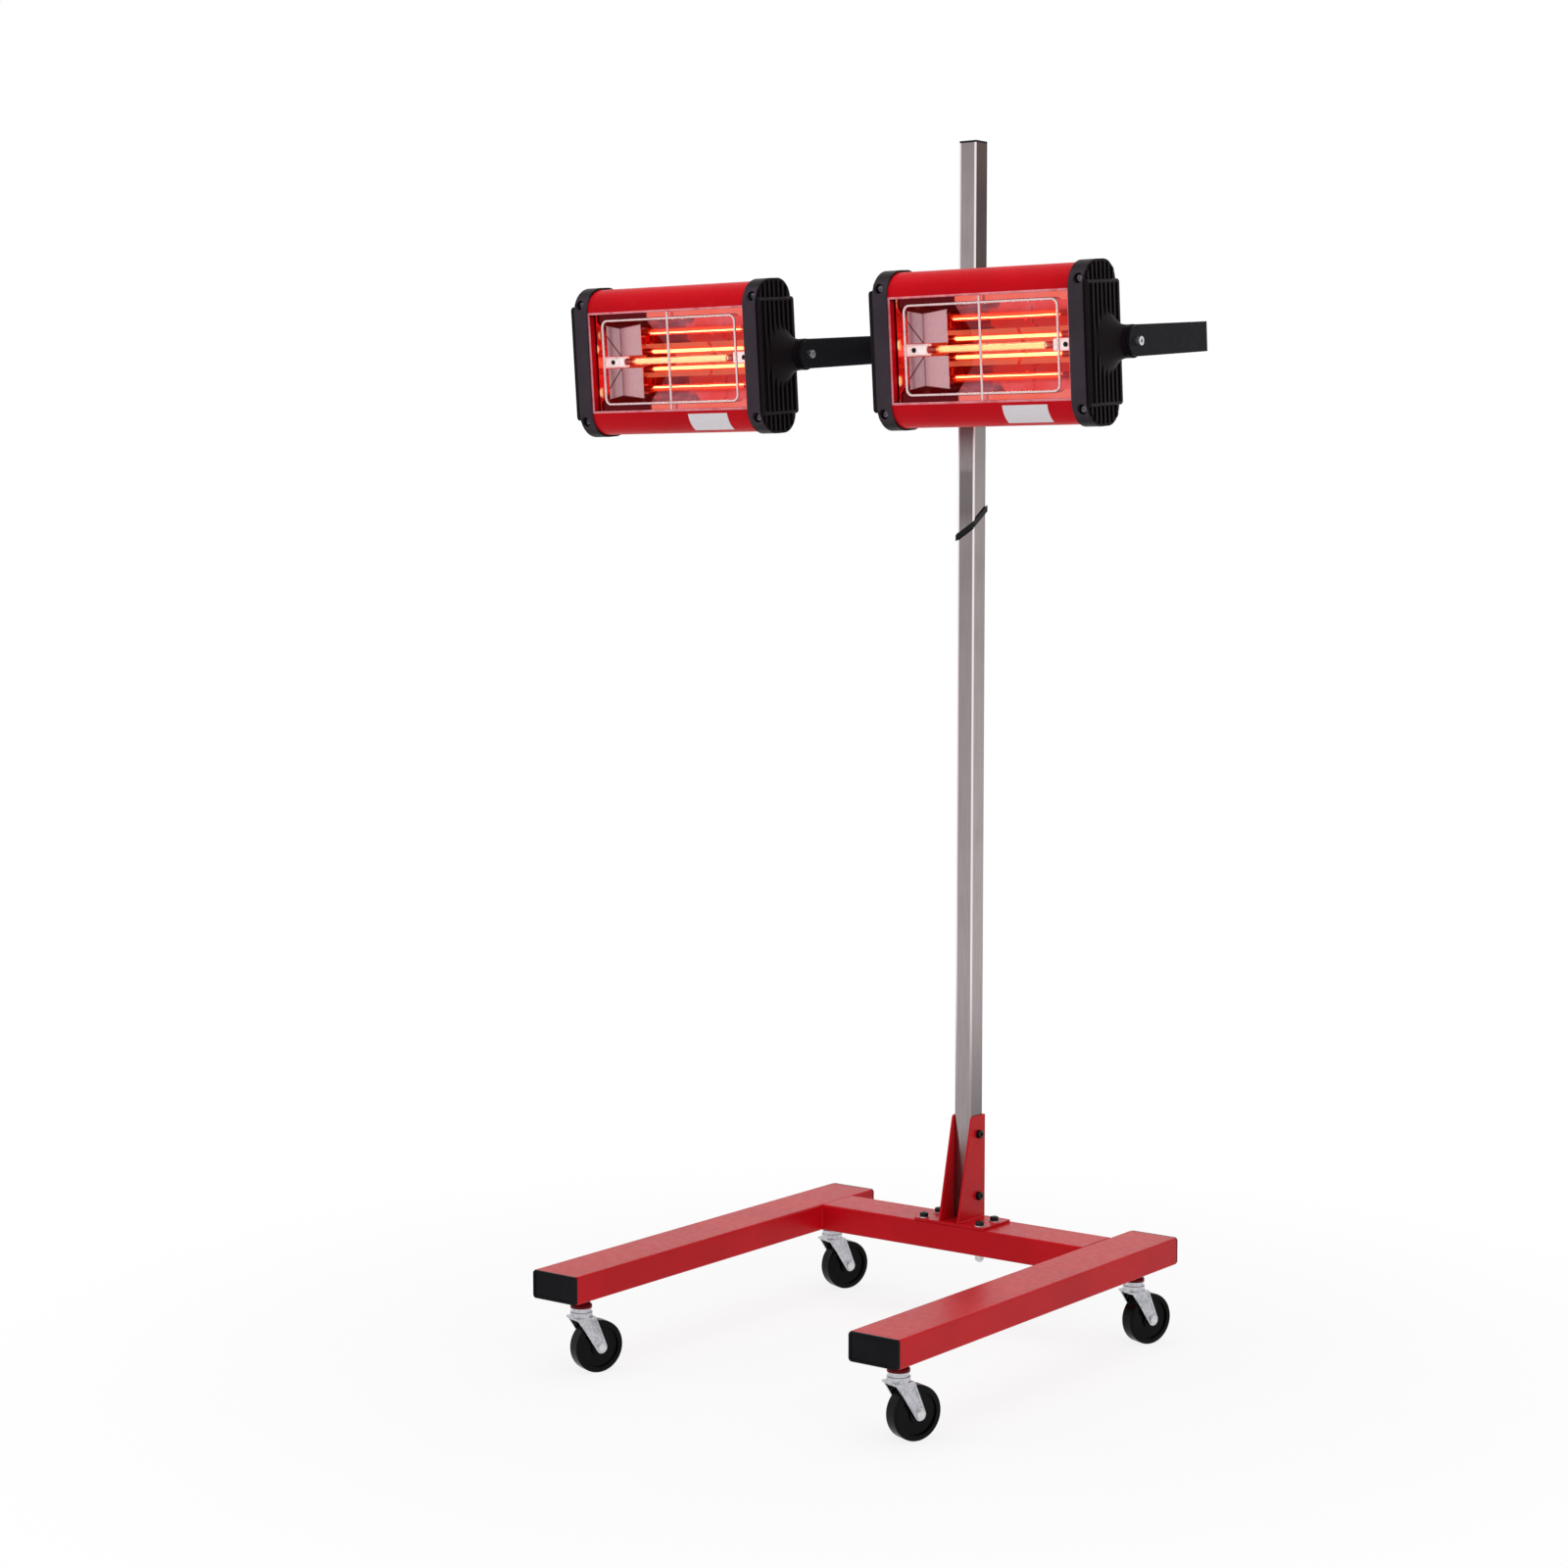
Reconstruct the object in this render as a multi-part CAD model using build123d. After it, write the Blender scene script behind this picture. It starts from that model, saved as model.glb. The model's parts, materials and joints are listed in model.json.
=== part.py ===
# Infrared paint curing lamp on a rolling stand.
# Two heads hang in U-shaped yokes on a cross arm. The arm hinges on a sleeve that slides on a square post.
# Millimetres. Origin on the floor under the middle of the whole lamp, +Z up, the heads face -Y.

import os
from math import cos, radians, sin, sqrt, tan

from build123d import *

# Clearances and overruns
running_gap = 0.05
seat_gap = 0.3
cut_overrun = 5.0

# Base tubes
tube_width = 80.0
tube_height = 40.0
tube_wall = 2.5
tube_corner = 3.0
leg_length = 710.0
leg_spacing = 547.0
leg_overhang = 54.0
leg_cap_flange = 3.0
leg_cap_plug = 14.0
leg_cap_corner = 5.0
leg_cap_rim = 3.5
leg_cap_panel_depth = 1.0

# Casters
wheel_diameter = 75.0
wheel_width = 24.0
wheel_edge_radius = 4.0
wheel_hub_diameter = 26.0
wheel_rim_diameter = 58.0
wheel_dish_depth = 3.0
caster_trail = 24.0
caster_yaw_deg = 20.0
kingpin_inset = 54.0
kingpin_diameter = 10.0
kingpin_stem_length = 26.0
kingpin_nut_width = 17.0
kingpin_nut_height = 8.0
kingpin_rivet_diameter = 18.0
kingpin_rivet_height = 2.5
socket_diameter = 31.0
socket_neck_diameter = 24.0
socket_height = 19.0
socket_flange_height = 3.5
socket_flare_height = 4.5
race_diameter = 29.0
race_height = 6.0
fork_head_diameter = 32.0
fork_head_height = 6.7
fork_sheet = 3.0
fork_crown_gap = 5.0
fork_side_gap = 1.5
fork_front_reach = 15.0
fork_rear_reach = 15.0
fork_end_radius = 8.5
fork_rim_width = 3.0
fork_panel_depth = 0.8
axle_diameter = 8.0
axle_head_diameter = 12.0
axle_head_height = 1.6

# Post and its bracket
post_width = 30.0
post_wall = 1.5
post_corner = 1.5
post_length = 1596.0
post_offset = 13.0
post_cap_flange = 3.0
post_cap_plug = 12.0
bracket_plate_length = 126.0
bracket_plate_depth = 74.0
bracket_plate_thickness = 4.0
bracket_height = 160.0
bracket_sheet = 3.0
bracket_top_lead = 3.0
bracket_corner = 3.0
post_bolt_diameter = 8.0
post_bolt_spacing = 94.0
post_bolt_low = 38.0
plate_bolt_diameter = 8.0
plate_bolt_spacing_x = 100.0
plate_bolt_spacing_y = 40.0
plate_bolt_front_inset = 9.0
bolt_head_diameter = 13.0
bolt_head_height = 6.0
bolt_head_rounding = 2.0
bolt_socket_width = 5.0
bolt_socket_depth = 3.0
plate_washer_diameter = 16.0
plate_washer_thickness = 1.5
bolt_nut_width = 13.0
bolt_nut_height = 6.5
bolt_tail = 3.0
rivet_nut_depth = 14.0

# Band round the post
band_drop = 256.0
band_width = 7.0
band_thickness = 2.0
band_slope_x_deg = 28.0
band_slope_y_deg = 34.0
band_lock_width = 9.0
band_lock_depth = 5.0

# Sleeve that slides on the post
sleeve_width = 42.0
sleeve_wall = 3.0
sleeve_height = 84.0
liner_height = 18.0
liner_lip = 2.0
liner_gap = 0.3
boom_length = 56.0
boom_thickness = 16.0
boom_height = 40.0
arm_height = 1457.0
sleeve_boss_diameter = 20.0
sleeve_boss_length = 8.0

# Star knobs
knob_diameter = 42.0
knob_height = 18.0
knob_lobe_diameter = 12.0
knob_neck_diameter = 22.0
knob_neck_height = 8.0
knob_lobes = 6
knob_stud_diameter = 8.0

# Cross arm
arm_pitch_deg = 4.6
arm_tube = 30.0
arm_wall = 2.5
arm_corner = 3.0
arm_overhang = 26.0
arm_cap_flange = 3.0
arm_cap_plug = 12.0
hinge_setback = 22.0
hinge_ear_thickness = 5.0
hinge_ear_radius = 17.0
hinge_pin_diameter = 10.0
hinge_pin_head_diameter = 18.0
hinge_pin_head_height = 5.0
hinge_pin_tail = 24.0

# Yokes
head_spacing = 531.0
yoke_bar_height = 40.0
yoke_bar_thickness = 5.0
yoke_reach = 191.0
yoke_bend_radius = 8.0
yoke_bolt_diameter = 10.0
yoke_bolt_head_diameter = 22.0
yoke_bolt_head_height = 5.0
yoke_washer_diameter = 24.0
yoke_washer_thickness = 2.0
yoke_nut_width = 17.0
yoke_nut_height = 9.0
pivot_bolt_diameter = 8.0
pivot_bolt_head_diameter = 12.0
pivot_bolt_head_height = 7.0
pivot_socket_width = 5.0
pivot_socket_depth = 4.0
pivot_bolt_length = 20.0

# Head housing
body_half_length = 143.0
body_half_height = 105.0
body_depth = 76.0
body_front_radius = 34.0
body_rear_radius = 26.0
body_sheet = 2.0
window_half_height = 70.0
window_hem = 12.0
window_end_frame = 2.0
window_bead_radius = 1.3
window_bead_proud = 0.5
vent_width = 4.0
vent_height = 34.0
vent_pitch = 12.0
vent_columns = 11
vent_rise = 46.0

# Reflector, tube, holders and guard
reflector_sheet = 1.0
reflector_end_gap = 5.0
reflector_inner_half = 24.0
reflector_outer_half = 58.0
reflector_inner_slope_deg = 17.0
reflector_outer_slope_deg = 46.5
reflector_lip = 12.0
shield_end_gap = 14.0
shield_outer_width = 22.0
shield_inner_width = 42.0
shield_setback = 6.0
shield_crease_drop = 5.0
shield_slot_half = 9.0
tube_setback = 23.0
lamp_tube_diameter = 10.0
lamp_tube_hole = 14.0
holder_length = 36.0
holder_height = 16.0
holder_depth = 14.0
holder_grip = 14.0
holder_screw_diameter = 5.0
guard_half_length = 121.0
guard_half_height = 60.0
guard_wire = 4.0
guard_inset = 6.0
guard_corner = 9.0

# End caps of the heads
cap_wall = 3.0
cap_overlap = 4.0
cap_fit = 0.1
cap_ear_width = 23.0
cap_block_step = 7.0
cap_block_half_height = 82.0
cap_block_inset = 2.0
cap_block_rounding = 5.0
ridge_height = 3.0
ridge_width = 3.6
ridge_count = 7
ridge_pitch = 10.4
neck_base_half_height = 48.0
neck_base_half_depth = 33.0
neck_base_setback = 41.0
neck_waist_radius = 27.0
neck_waist_setback = 52.0
neck_waist_length = 7.0
neck_length = 17.0
knuckle_radius = 22.0
knuckle_length = 7.0
pivot_setback = 68.0
pivot_bore_length = 22.0
screw_height = 84.0
screw_pocket_diameter = 14.0
screw_pocket_depth = 8.0
screw_boss_wall = 2.0
screw_diameter = 4.0
screw_length = 14.0
screw_head_diameter = 8.0
screw_head_height = 3.0
screw_cross_width = 1.2
screw_cross_depth = 1.2

# Switch and cable gland on the back of each head
switch_offset = 104.0
switch_rise = 62.0
bezel_width = 26.0
bezel_height = 36.0
bezel_lip = 2.0
bezel_body_depth = 18.0
bezel_wall = 2.0
rocker_depth = 14.5
rocker_dip = 1.8
rocker_proud = 4.5
rocker_gap = 0.4
rocker_rest_deg = 9.0
rocker_pin_diameter = 3.0
gland_offset = 104.0
gland_drop = 62.0
gland_hex_width = 22.0
gland_hex_height = 6.0
gland_dome_diameter = 18.0
gland_dome_length = 16.0
gland_bore = 8.0
gland_thread_bore = 11.0
gland_thread_length = 9.0

# Heights of the stand, from the floor up
wheel_radius = wheel_diameter / 2
fork_crown_z = wheel_diameter + fork_crown_gap
fork_head_z = fork_crown_z + fork_sheet
socket_bottom_z = fork_head_z + fork_head_height + seat_gap + race_height
leg_bottom_z = socket_bottom_z + socket_height
leg_top_z = leg_bottom_z + tube_height
plate_top_z = leg_top_z + bracket_plate_thickness
post_top_z = plate_top_z + post_length

# Front to back places, with the whole depth centred on the origin
yaw_cos = cos(radians(caster_yaw_deg))
yaw_sin = sin(radians(caster_yaw_deg))
tread_reach = wheel_radius - wheel_edge_radius
side_reach = wheel_width / 2 - wheel_edge_radius
wheel_reach_y = (caster_trail + tread_reach) * yaw_cos + side_reach * yaw_sin + wheel_edge_radius
rear_overhang = max(leg_cap_flange, wheel_reach_y - kingpin_inset)
total_depth = leg_cap_flange + leg_length + rear_overhang
leg_front_y = leg_cap_flange - total_depth / 2
leg_back_y = leg_front_y + leg_length
crossbar_y = leg_back_y - leg_overhang - tube_width / 2
post_y = crossbar_y + post_offset
plate_front_y = crossbar_y - tube_width / 2
plate_y = plate_front_y + bracket_plate_depth / 2

# Places on the moving arm: its own frame has the hinge line as X and the pitch of the rest pose
hinge_y = post_y - sleeve_width / 2 - boom_length
arm_y = -hinge_setback - arm_tube / 2
yoke_back_y = -hinge_setback - arm_tube
pivot_y = yoke_back_y - yoke_reach
window_y = pivot_y - pivot_setback
arm_frame = Location((0, hinge_y, arm_height), (arm_pitch_deg, 0, 0))

# Widths along a head, from its middle outwards
housing_half_length = body_half_length + cap_overlap
cap_ear_x = body_half_length + cap_ear_width
cap_block_x = cap_ear_x + cap_block_step
knuckle_x = cap_block_x + neck_length
knuckle_face_x = knuckle_x + knuckle_length
yoke_inner_x = knuckle_face_x + seat_gap
yoke_outer_x = yoke_inner_x + yoke_bar_thickness
screw_x = cap_ear_x - screw_pocket_diameter / 2 - screw_boss_wall

# Depths inside a head, from the window plane backwards
inner_drop = reflector_inner_half * tan(radians(reflector_inner_slope_deg))
outer_run = reflector_outer_half - reflector_inner_half
outer_drop = outer_run * tan(radians(reflector_outer_slope_deg))
reflector_lip_y = window_hem
reflector_back_y = reflector_lip_y + outer_drop + inner_drop
lamp_tube_y = reflector_back_y - tube_setback


def box_between(low, high):
    """Box from its lowest to its highest corner."""
    size = [b - a for a, b in zip(low, high)]
    return Pos(*low) * Box(*size, align=(Align.MIN, Align.MIN, Align.MIN))


def rod(radius, start, end, axis):
    """Round bar along one row axis, from start to end on that axis."""
    length = end - start
    bar = Cylinder(radius, length, align=(Align.CENTER, Align.CENTER, Align.MIN))
    if axis == "x":
        return Pos(start, 0, 0) * Rot(0, 90, 0) * bar
    if axis == "y":
        return Pos(0, start, 0) * Rot(-90, 0, 0) * bar
    return Pos(0, 0, start) * bar


def hex_nut(width, height, bore_radius):
    """Hexagon nut standing on z = 0, its flats a given width apart."""
    body = extrude(RegularPolygon(width / 2, 6, major_radius=False), height)
    return body - rod(bore_radius, -cut_overrun, height + cut_overrun, "z")


def cross_slot(width, length, depth):
    """Cross recess below z = 0."""
    bar = Box(length, width, depth, align=(Align.CENTER, Align.CENTER, Align.MAX))
    return bar + Rot(0, 0, 90) * bar


def square_tube(width, height, wall, corner, length):
    """Rounded box tube along +Z, from z = 0."""
    outer = RectangleRounded(width, height, corner)
    inner_corner = max(corner - wall, wall / 4)
    inner = RectangleRounded(width - 2 * wall, height - 2 * wall, inner_corner)
    return extrude(outer - inner, length)


def tube_plug(width, height, wall, corner, flange, plug):
    """Moulded end plug: a flange above z = 0 and a hollow stem below it."""
    inner_corner = max(corner - wall, wall / 4)
    lid = extrude(RectangleRounded(width, height, corner), flange)
    stem_outer = RectangleRounded(width - 2 * wall, height - 2 * wall, inner_corner)
    stem_inner = Rectangle(width - 4 * wall, height - 4 * wall)
    return lid + Pos(0, 0, -plug) * extrude(stem_outer - stem_inner, plug)


def polyline_face(points):
    """Flat face on the XY plane through the given corners."""
    return make_face(Polyline(*points, close=True))


def swap_to_depth(sketch_solid):
    """Turn a solid drawn with depth on X, height on Y and length on Z to the row's Y, Z and X."""
    return Rot(90, 90, 0) * sketch_solid


def kingpin_places():
    """Swivel axes of the four casters, keyed by their place on the base."""
    side_x = leg_spacing / 2
    front_y = leg_front_y + kingpin_inset
    back_y = leg_back_y - kingpin_inset
    return {
        "front_left": (-side_x, front_y),
        "front_right": (side_x, front_y),
        "rear_left": (-side_x, back_y),
        "rear_right": (side_x, back_y),
    }


def make_leg(side):
    """One long base tube, with holes in its underside for the caster stems."""
    tube = square_tube(tube_width, tube_height, tube_wall, tube_corner, leg_length)
    x = side * leg_spacing / 2
    leg = Pos(x, leg_back_y, leg_bottom_z + tube_height / 2) * Rot(90, 0, 0) * tube
    for pin_x, pin_y in kingpin_places().values():
        if pin_x * side > 0:
            hole = rod(kingpin_diameter / 2, leg_bottom_z - cut_overrun, leg_bottom_z + 2 * tube_wall, "z")
            leg -= Pos(pin_x, pin_y, 0) * hole
    return leg


def plate_bolt_places():
    """Axes of the bolts that hold the bracket plate to the crossbar."""
    half_x = plate_bolt_spacing_x / 2
    front_y = plate_front_y + plate_bolt_front_inset
    rows = (front_y, front_y + plate_bolt_spacing_y)
    return [(x, y) for y in rows for x in (-half_x, half_x)]


def make_crossbar():
    """Tube between the two legs, drilled for the plate's bolts."""
    length = leg_spacing - tube_width
    tube = square_tube(tube_height, tube_width, tube_wall, tube_corner, length)
    bar = Pos(-length / 2, crossbar_y, leg_bottom_z + tube_height / 2) * Rot(0, 90, 0) * tube
    for index, (x, y) in enumerate(plate_bolt_places()):
        through = index == 1
        low_z = leg_bottom_z - cut_overrun if through else leg_top_z - 2 * tube_wall
        bar -= Pos(x, y, 0) * rod(plate_bolt_diameter / 2, low_z, leg_top_z + cut_overrun, "z")
    return bar


def make_leg_caps():
    """Four moulded plugs in the ends of the legs, each with a raised rim round a sunk panel."""
    plug = tube_plug(tube_width, tube_height, tube_wall, leg_cap_corner, leg_cap_flange, leg_cap_plug)
    panel_width = tube_width - 2 * leg_cap_rim
    panel_height = tube_height - 2 * leg_cap_rim
    panel = extrude(RectangleRounded(panel_width, panel_height, leg_cap_corner / 2), 2 * leg_cap_panel_depth)
    plug -= Pos(0, 0, leg_cap_flange - leg_cap_panel_depth) * panel
    z = leg_bottom_z + tube_height / 2
    caps = []
    for side in (-1, 1):
        x = side * leg_spacing / 2
        caps.append(Pos(x, leg_front_y, z) * Rot(90, 0, 0) * plug)
        caps.append(Pos(x, leg_back_y, z) * Rot(-90, 0, 0) * plug)
    return caps


def make_caster_sockets():
    """Round welded bosses between the legs and the casters, flared to a flange below."""
    flange_top_z = socket_bottom_z + socket_flange_height
    flare = Cone(
        socket_diameter / 2,
        socket_neck_diameter / 2,
        socket_flare_height,
        align=(Align.CENTER, Align.CENTER, Align.MIN),
    )
    ring = rod(socket_neck_diameter / 2, socket_bottom_z, leg_bottom_z, "z")
    ring += rod(socket_diameter / 2, socket_bottom_z, flange_top_z, "z") + Pos(0, 0, flange_top_z) * flare
    ring -= rod(kingpin_diameter / 2, socket_bottom_z - cut_overrun, leg_bottom_z + cut_overrun, "z")
    return [Pos(x, y, 0) * ring for x, y in kingpin_places().values()]


def make_kingpins():
    """Caster stems: a riveted pin, the upper race on it and the nut inside the leg."""
    race_bottom_z = socket_bottom_z - race_height
    nut_z = leg_bottom_z + tube_wall
    rivet_top_z = fork_crown_z - seat_gap
    pin = rod(kingpin_diameter / 2, rivet_top_z, leg_bottom_z + kingpin_stem_length, "z")
    race = rod(race_diameter / 2, race_bottom_z, socket_bottom_z, "z")
    rivet = rod(kingpin_rivet_diameter / 2, rivet_top_z - kingpin_rivet_height, rivet_top_z, "z")
    stem = pin + race + rivet
    nut = Pos(0, 0, nut_z) * hex_nut(kingpin_nut_width, kingpin_nut_height, kingpin_diameter / 2)
    solids = []
    for x, y in kingpin_places().values():
        solids.append(Pos(x, y, 0) * stem)
        solids.append(Pos(x, y, 0) * nut)
    return solids


def tangent_point(start, centre, radius, side):
    """Point where the line from start touches a circle, on the given side of it."""
    dx = centre[0] - start[0]
    dy = centre[1] - start[1]
    distance = sqrt(dx * dx + dy * dy)
    along = sqrt(distance * distance - radius * radius) / distance
    across = side * radius / distance
    scale = along
    return (
        start[0] + (dx * along - dy * across) * scale,
        start[1] + (dy * along + dx * across) * scale,
    )


def make_fork():
    """Caster fork in its own frame: swivel axis on Z, wheel trailing towards +Y."""
    inner_x = wheel_width / 2 + fork_side_gap
    outer_x = inner_x + fork_sheet
    axle = (caster_trail, wheel_radius)
    front_top = (-fork_front_reach, fork_head_z)
    rear_top = (fork_rear_reach, fork_head_z)
    corners = [
        front_top,
        tangent_point(front_top, axle, fork_end_radius, -1),
        axle,
        tangent_point(rear_top, axle, fork_end_radius, 1),
        rear_top,
    ]
    side_face = polyline_face(corners) + Pos(*axle) * Circle(fork_end_radius)
    side_face -= Pos(*axle) * Circle(axle_diameter / 2)
    cheek = swap_to_depth(extrude(side_face, fork_sheet))
    panel_face = offset(polyline_face(corners), -fork_rim_width) - Pos(*axle) * Circle(fork_end_radius)
    panel = swap_to_depth(extrude(panel_face, 2 * fork_panel_depth))
    crown = box_between((-outer_x, -fork_front_reach, fork_crown_z), (outer_x, fork_rear_reach, fork_head_z))
    head = rod(fork_head_diameter / 2, fork_crown_z, fork_head_z + fork_head_height, "z")
    fork = crown + head + Pos(inner_x, 0, 0) * cheek + Pos(-outer_x, 0, 0) * cheek
    fork -= Pos(outer_x - fork_panel_depth, 0, 0) * panel
    fork -= Pos(-outer_x - fork_panel_depth, 0, 0) * panel
    bore_top_z = fork_head_z + fork_head_height + cut_overrun
    return fork - rod(kingpin_diameter / 2 + running_gap, fork_crown_z - cut_overrun, bore_top_z, "z")


def make_wheel():
    """Wheel in the fork's frame: dished sides, rounded tread edges and a plain bore."""
    half = wheel_width / 2
    body = rod(wheel_radius, -half, half, "x")
    body = fillet(body.edges().filter_by(GeomType.CIRCLE), wheel_edge_radius)
    for side in (-1, 1):
        floor_x = side * (half - wheel_dish_depth)
        rim_x = side * (half + cut_overrun)
        low, high = sorted((floor_x, rim_x))
        dish = rod(wheel_rim_diameter / 2, low, high, "x") - rod(wheel_hub_diameter / 2, low, high, "x")
        body -= dish
    body -= rod(axle_diameter / 2 + running_gap, -half - cut_overrun, half + cut_overrun, "x")
    return Pos(0, caster_trail, wheel_radius) * body


def make_axle():
    """Riveted axle with a flat head at each end."""
    outer_x = wheel_width / 2 + fork_side_gap + fork_sheet
    pin = rod(axle_diameter / 2, -outer_x, outer_x, "x")
    head = rod(axle_head_diameter / 2, outer_x, outer_x + axle_head_height, "x")
    return Pos(0, caster_trail, wheel_radius) * (pin + head + Rot(0, 0, 180) * head)


def make_post():
    """Square post on the bracket plate, drilled through for its two bolts."""
    tube = square_tube(post_width, post_width, post_wall, post_corner, post_length)
    tube = Pos(0, post_y, plate_top_z) * tube
    for z in post_bolt_heights():
        hole = rod(post_bolt_diameter / 2, -post_width, post_width, "x")
        tube -= Pos(0, post_y, z) * hole
    return tube


def make_post_cap():
    """Moulded plug in the top of the post."""
    plug = tube_plug(post_width, post_width, post_wall, post_corner, post_cap_flange, post_cap_plug)
    return Pos(0, post_y, post_top_z) * plug


def post_bolt_heights():
    """Heights of the two bolts through the bracket and the post."""
    low = leg_top_z + post_bolt_low
    return (low, low + post_bolt_spacing)


def make_bracket_plate():
    """Base plate of the post bracket."""
    plate = Pos(0, plate_y, leg_top_z) * extrude(
        RectangleRounded(bracket_plate_length, bracket_plate_depth, bracket_corner), bracket_plate_thickness
    )
    for x, y in plate_bolt_places():
        hole = rod(plate_bolt_diameter / 2, leg_top_z - cut_overrun, plate_top_z + cut_overrun, "z")
        plate -= Pos(x, y, 0) * hole
    return plate


def make_post_bracket():
    """Bent channel round the post: two tapered cheeks that flare forward and a web behind."""
    inner_x = post_width / 2
    outer_x = inner_x + bracket_sheet
    top_z = leg_top_z + bracket_height
    back_y = post_y + post_width / 2 + bracket_sheet
    top_front_y = post_y - post_width / 2 - bracket_top_lead
    corners = [
        (plate_front_y, plate_top_z),
        (back_y, plate_top_z),
        (back_y, top_z),
        (top_front_y + bracket_corner, top_z),
        (top_front_y, top_z - bracket_corner),
    ]
    cheek = swap_to_depth(extrude(polyline_face(corners), bracket_sheet))
    web = box_between((-inner_x, back_y - bracket_sheet, plate_top_z), (inner_x, back_y, top_z))
    bracket = web + Pos(inner_x, 0, 0) * cheek + Pos(-outer_x, 0, 0) * cheek
    for z in post_bolt_heights():
        hole = rod(post_bolt_diameter / 2, -outer_x - cut_overrun, outer_x + cut_overrun, "x")
        bracket -= Pos(0, post_y, z) * hole
    return bracket


def headed_bolt(shank_radius, length):
    """Socket-head bolt: the head above z = 0 with a hexagon recess, the shank below."""
    head = rod(bolt_head_diameter / 2, 0, bolt_head_height, "z")
    head = fillet(head.edges().filter_by(GeomType.CIRCLE).sort_by(Axis.Z)[-1], bolt_head_rounding)
    recess = extrude(RegularPolygon(bolt_socket_width / 2, 6, major_radius=False), 2 * bolt_socket_depth)
    head -= Pos(0, 0, bolt_head_height - bolt_socket_depth) * recess
    return head + rod(shank_radius, -length, 0, "z")


def make_post_bolts():
    """Two bolts across the bracket and the post, each with its nut."""
    outer_x = post_width / 2 + bracket_sheet
    length = 2 * outer_x + bolt_nut_height + bolt_tail
    bolt = Pos(outer_x, 0, 0) * Rot(0, 90, 0) * headed_bolt(post_bolt_diameter / 2, length)
    nut = hex_nut(bolt_nut_width, bolt_nut_height, post_bolt_diameter / 2)
    nut = Pos(-outer_x, 0, 0) * Rot(0, -90, 0) * nut
    solids = []
    for z in post_bolt_heights():
        solids.append(Pos(0, post_y, z) * bolt)
        solids.append(Pos(0, post_y, z) * nut)
    return solids


def make_plate_bolts():
    """Four bolts with washers down through the plate, one of them right through to a nut."""
    grip = plate_washer_thickness + bracket_plate_thickness
    through_length = grip + tube_height + bolt_nut_height + bolt_tail
    head_z = plate_top_z + plate_washer_thickness
    washer = rod(plate_washer_diameter / 2, plate_top_z, head_z, "z")
    washer -= rod(plate_bolt_diameter / 2, plate_top_z - cut_overrun, head_z + cut_overrun, "z")
    solids = []
    for index, (x, y) in enumerate(plate_bolt_places()):
        through = index == 1
        length = through_length if through else grip + rivet_nut_depth
        solids.append(Pos(x, y, head_z) * headed_bolt(plate_bolt_diameter / 2, length))
        solids.append(Pos(x, y, 0) * washer)
        if through:
            nut = hex_nut(bolt_nut_width, bolt_nut_height, plate_bolt_diameter / 2)
            solids.append(Pos(x, y, leg_bottom_z - bolt_nut_height) * nut)
    return solids


def make_post_band():
    """Flat tie strap pulled slantwise round the post, its square lock on the side away from the heads."""
    reach = 2 * (post_width + band_thickness)
    ring_side = post_width + 2 * band_thickness
    ring = Box(ring_side, ring_side, reach) - Box(post_width, post_width, 2 * reach)
    slab = Rot(band_slope_y_deg, -band_slope_x_deg, 0) * Box(2 * reach, 2 * reach, band_width)
    band = ring & slab
    lock_z = (post_width / 2) * tan(radians(band_slope_y_deg))
    lock_y = post_width / 2 + band_lock_depth / 2
    lock = Pos(0, lock_y, lock_z) * Box(band_lock_width, band_lock_depth, band_lock_width)
    return Pos(0, post_y, arm_height - band_drop) * (band + lock)


def make_carriage_sleeve():
    """Sleeve round the post with a boom plate forward to the hinge and a threaded boss behind."""
    half = sleeve_width / 2
    bottom_z = arm_height - sleeve_height / 2
    tube = Pos(0, post_y, bottom_z) * square_tube(
        sleeve_width, sleeve_width, sleeve_wall, sleeve_wall, sleeve_height
    )
    boom_back_y = post_y - half
    boom = box_between(
        (-boom_thickness / 2, hinge_y, arm_height - boom_height / 2),
        (boom_thickness / 2, boom_back_y, arm_height + boom_height / 2),
    )
    nose = Pos(0, hinge_y, arm_height) * rod(hinge_ear_radius, -boom_thickness / 2, boom_thickness / 2, "x")
    boom_tip = box_between(
        (-boom_thickness / 2, hinge_y, arm_height - boom_height / 2),
        (boom_thickness / 2, hinge_y + hinge_ear_radius, arm_height - hinge_ear_radius),
    )
    boom_tip += box_between(
        (-boom_thickness / 2, hinge_y, arm_height + hinge_ear_radius),
        (boom_thickness / 2, hinge_y + hinge_ear_radius, arm_height + boom_height / 2),
    )
    bore = rod(hinge_pin_diameter / 2 + running_gap, -boom_thickness, boom_thickness, "x")
    sleeve = tube + (boom - boom_tip) + nose - Pos(0, hinge_y, arm_height) * bore
    boss = rod(sleeve_boss_diameter / 2, post_y + half, post_y + half + sleeve_boss_length, "y")
    sleeve += Pos(0, 0, arm_height) * boss
    stud_hole = rod(knob_stud_diameter / 2 + running_gap, post_y, post_y + sleeve_width, "y")
    return sleeve - Pos(0, 0, arm_height) * stud_hole


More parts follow.
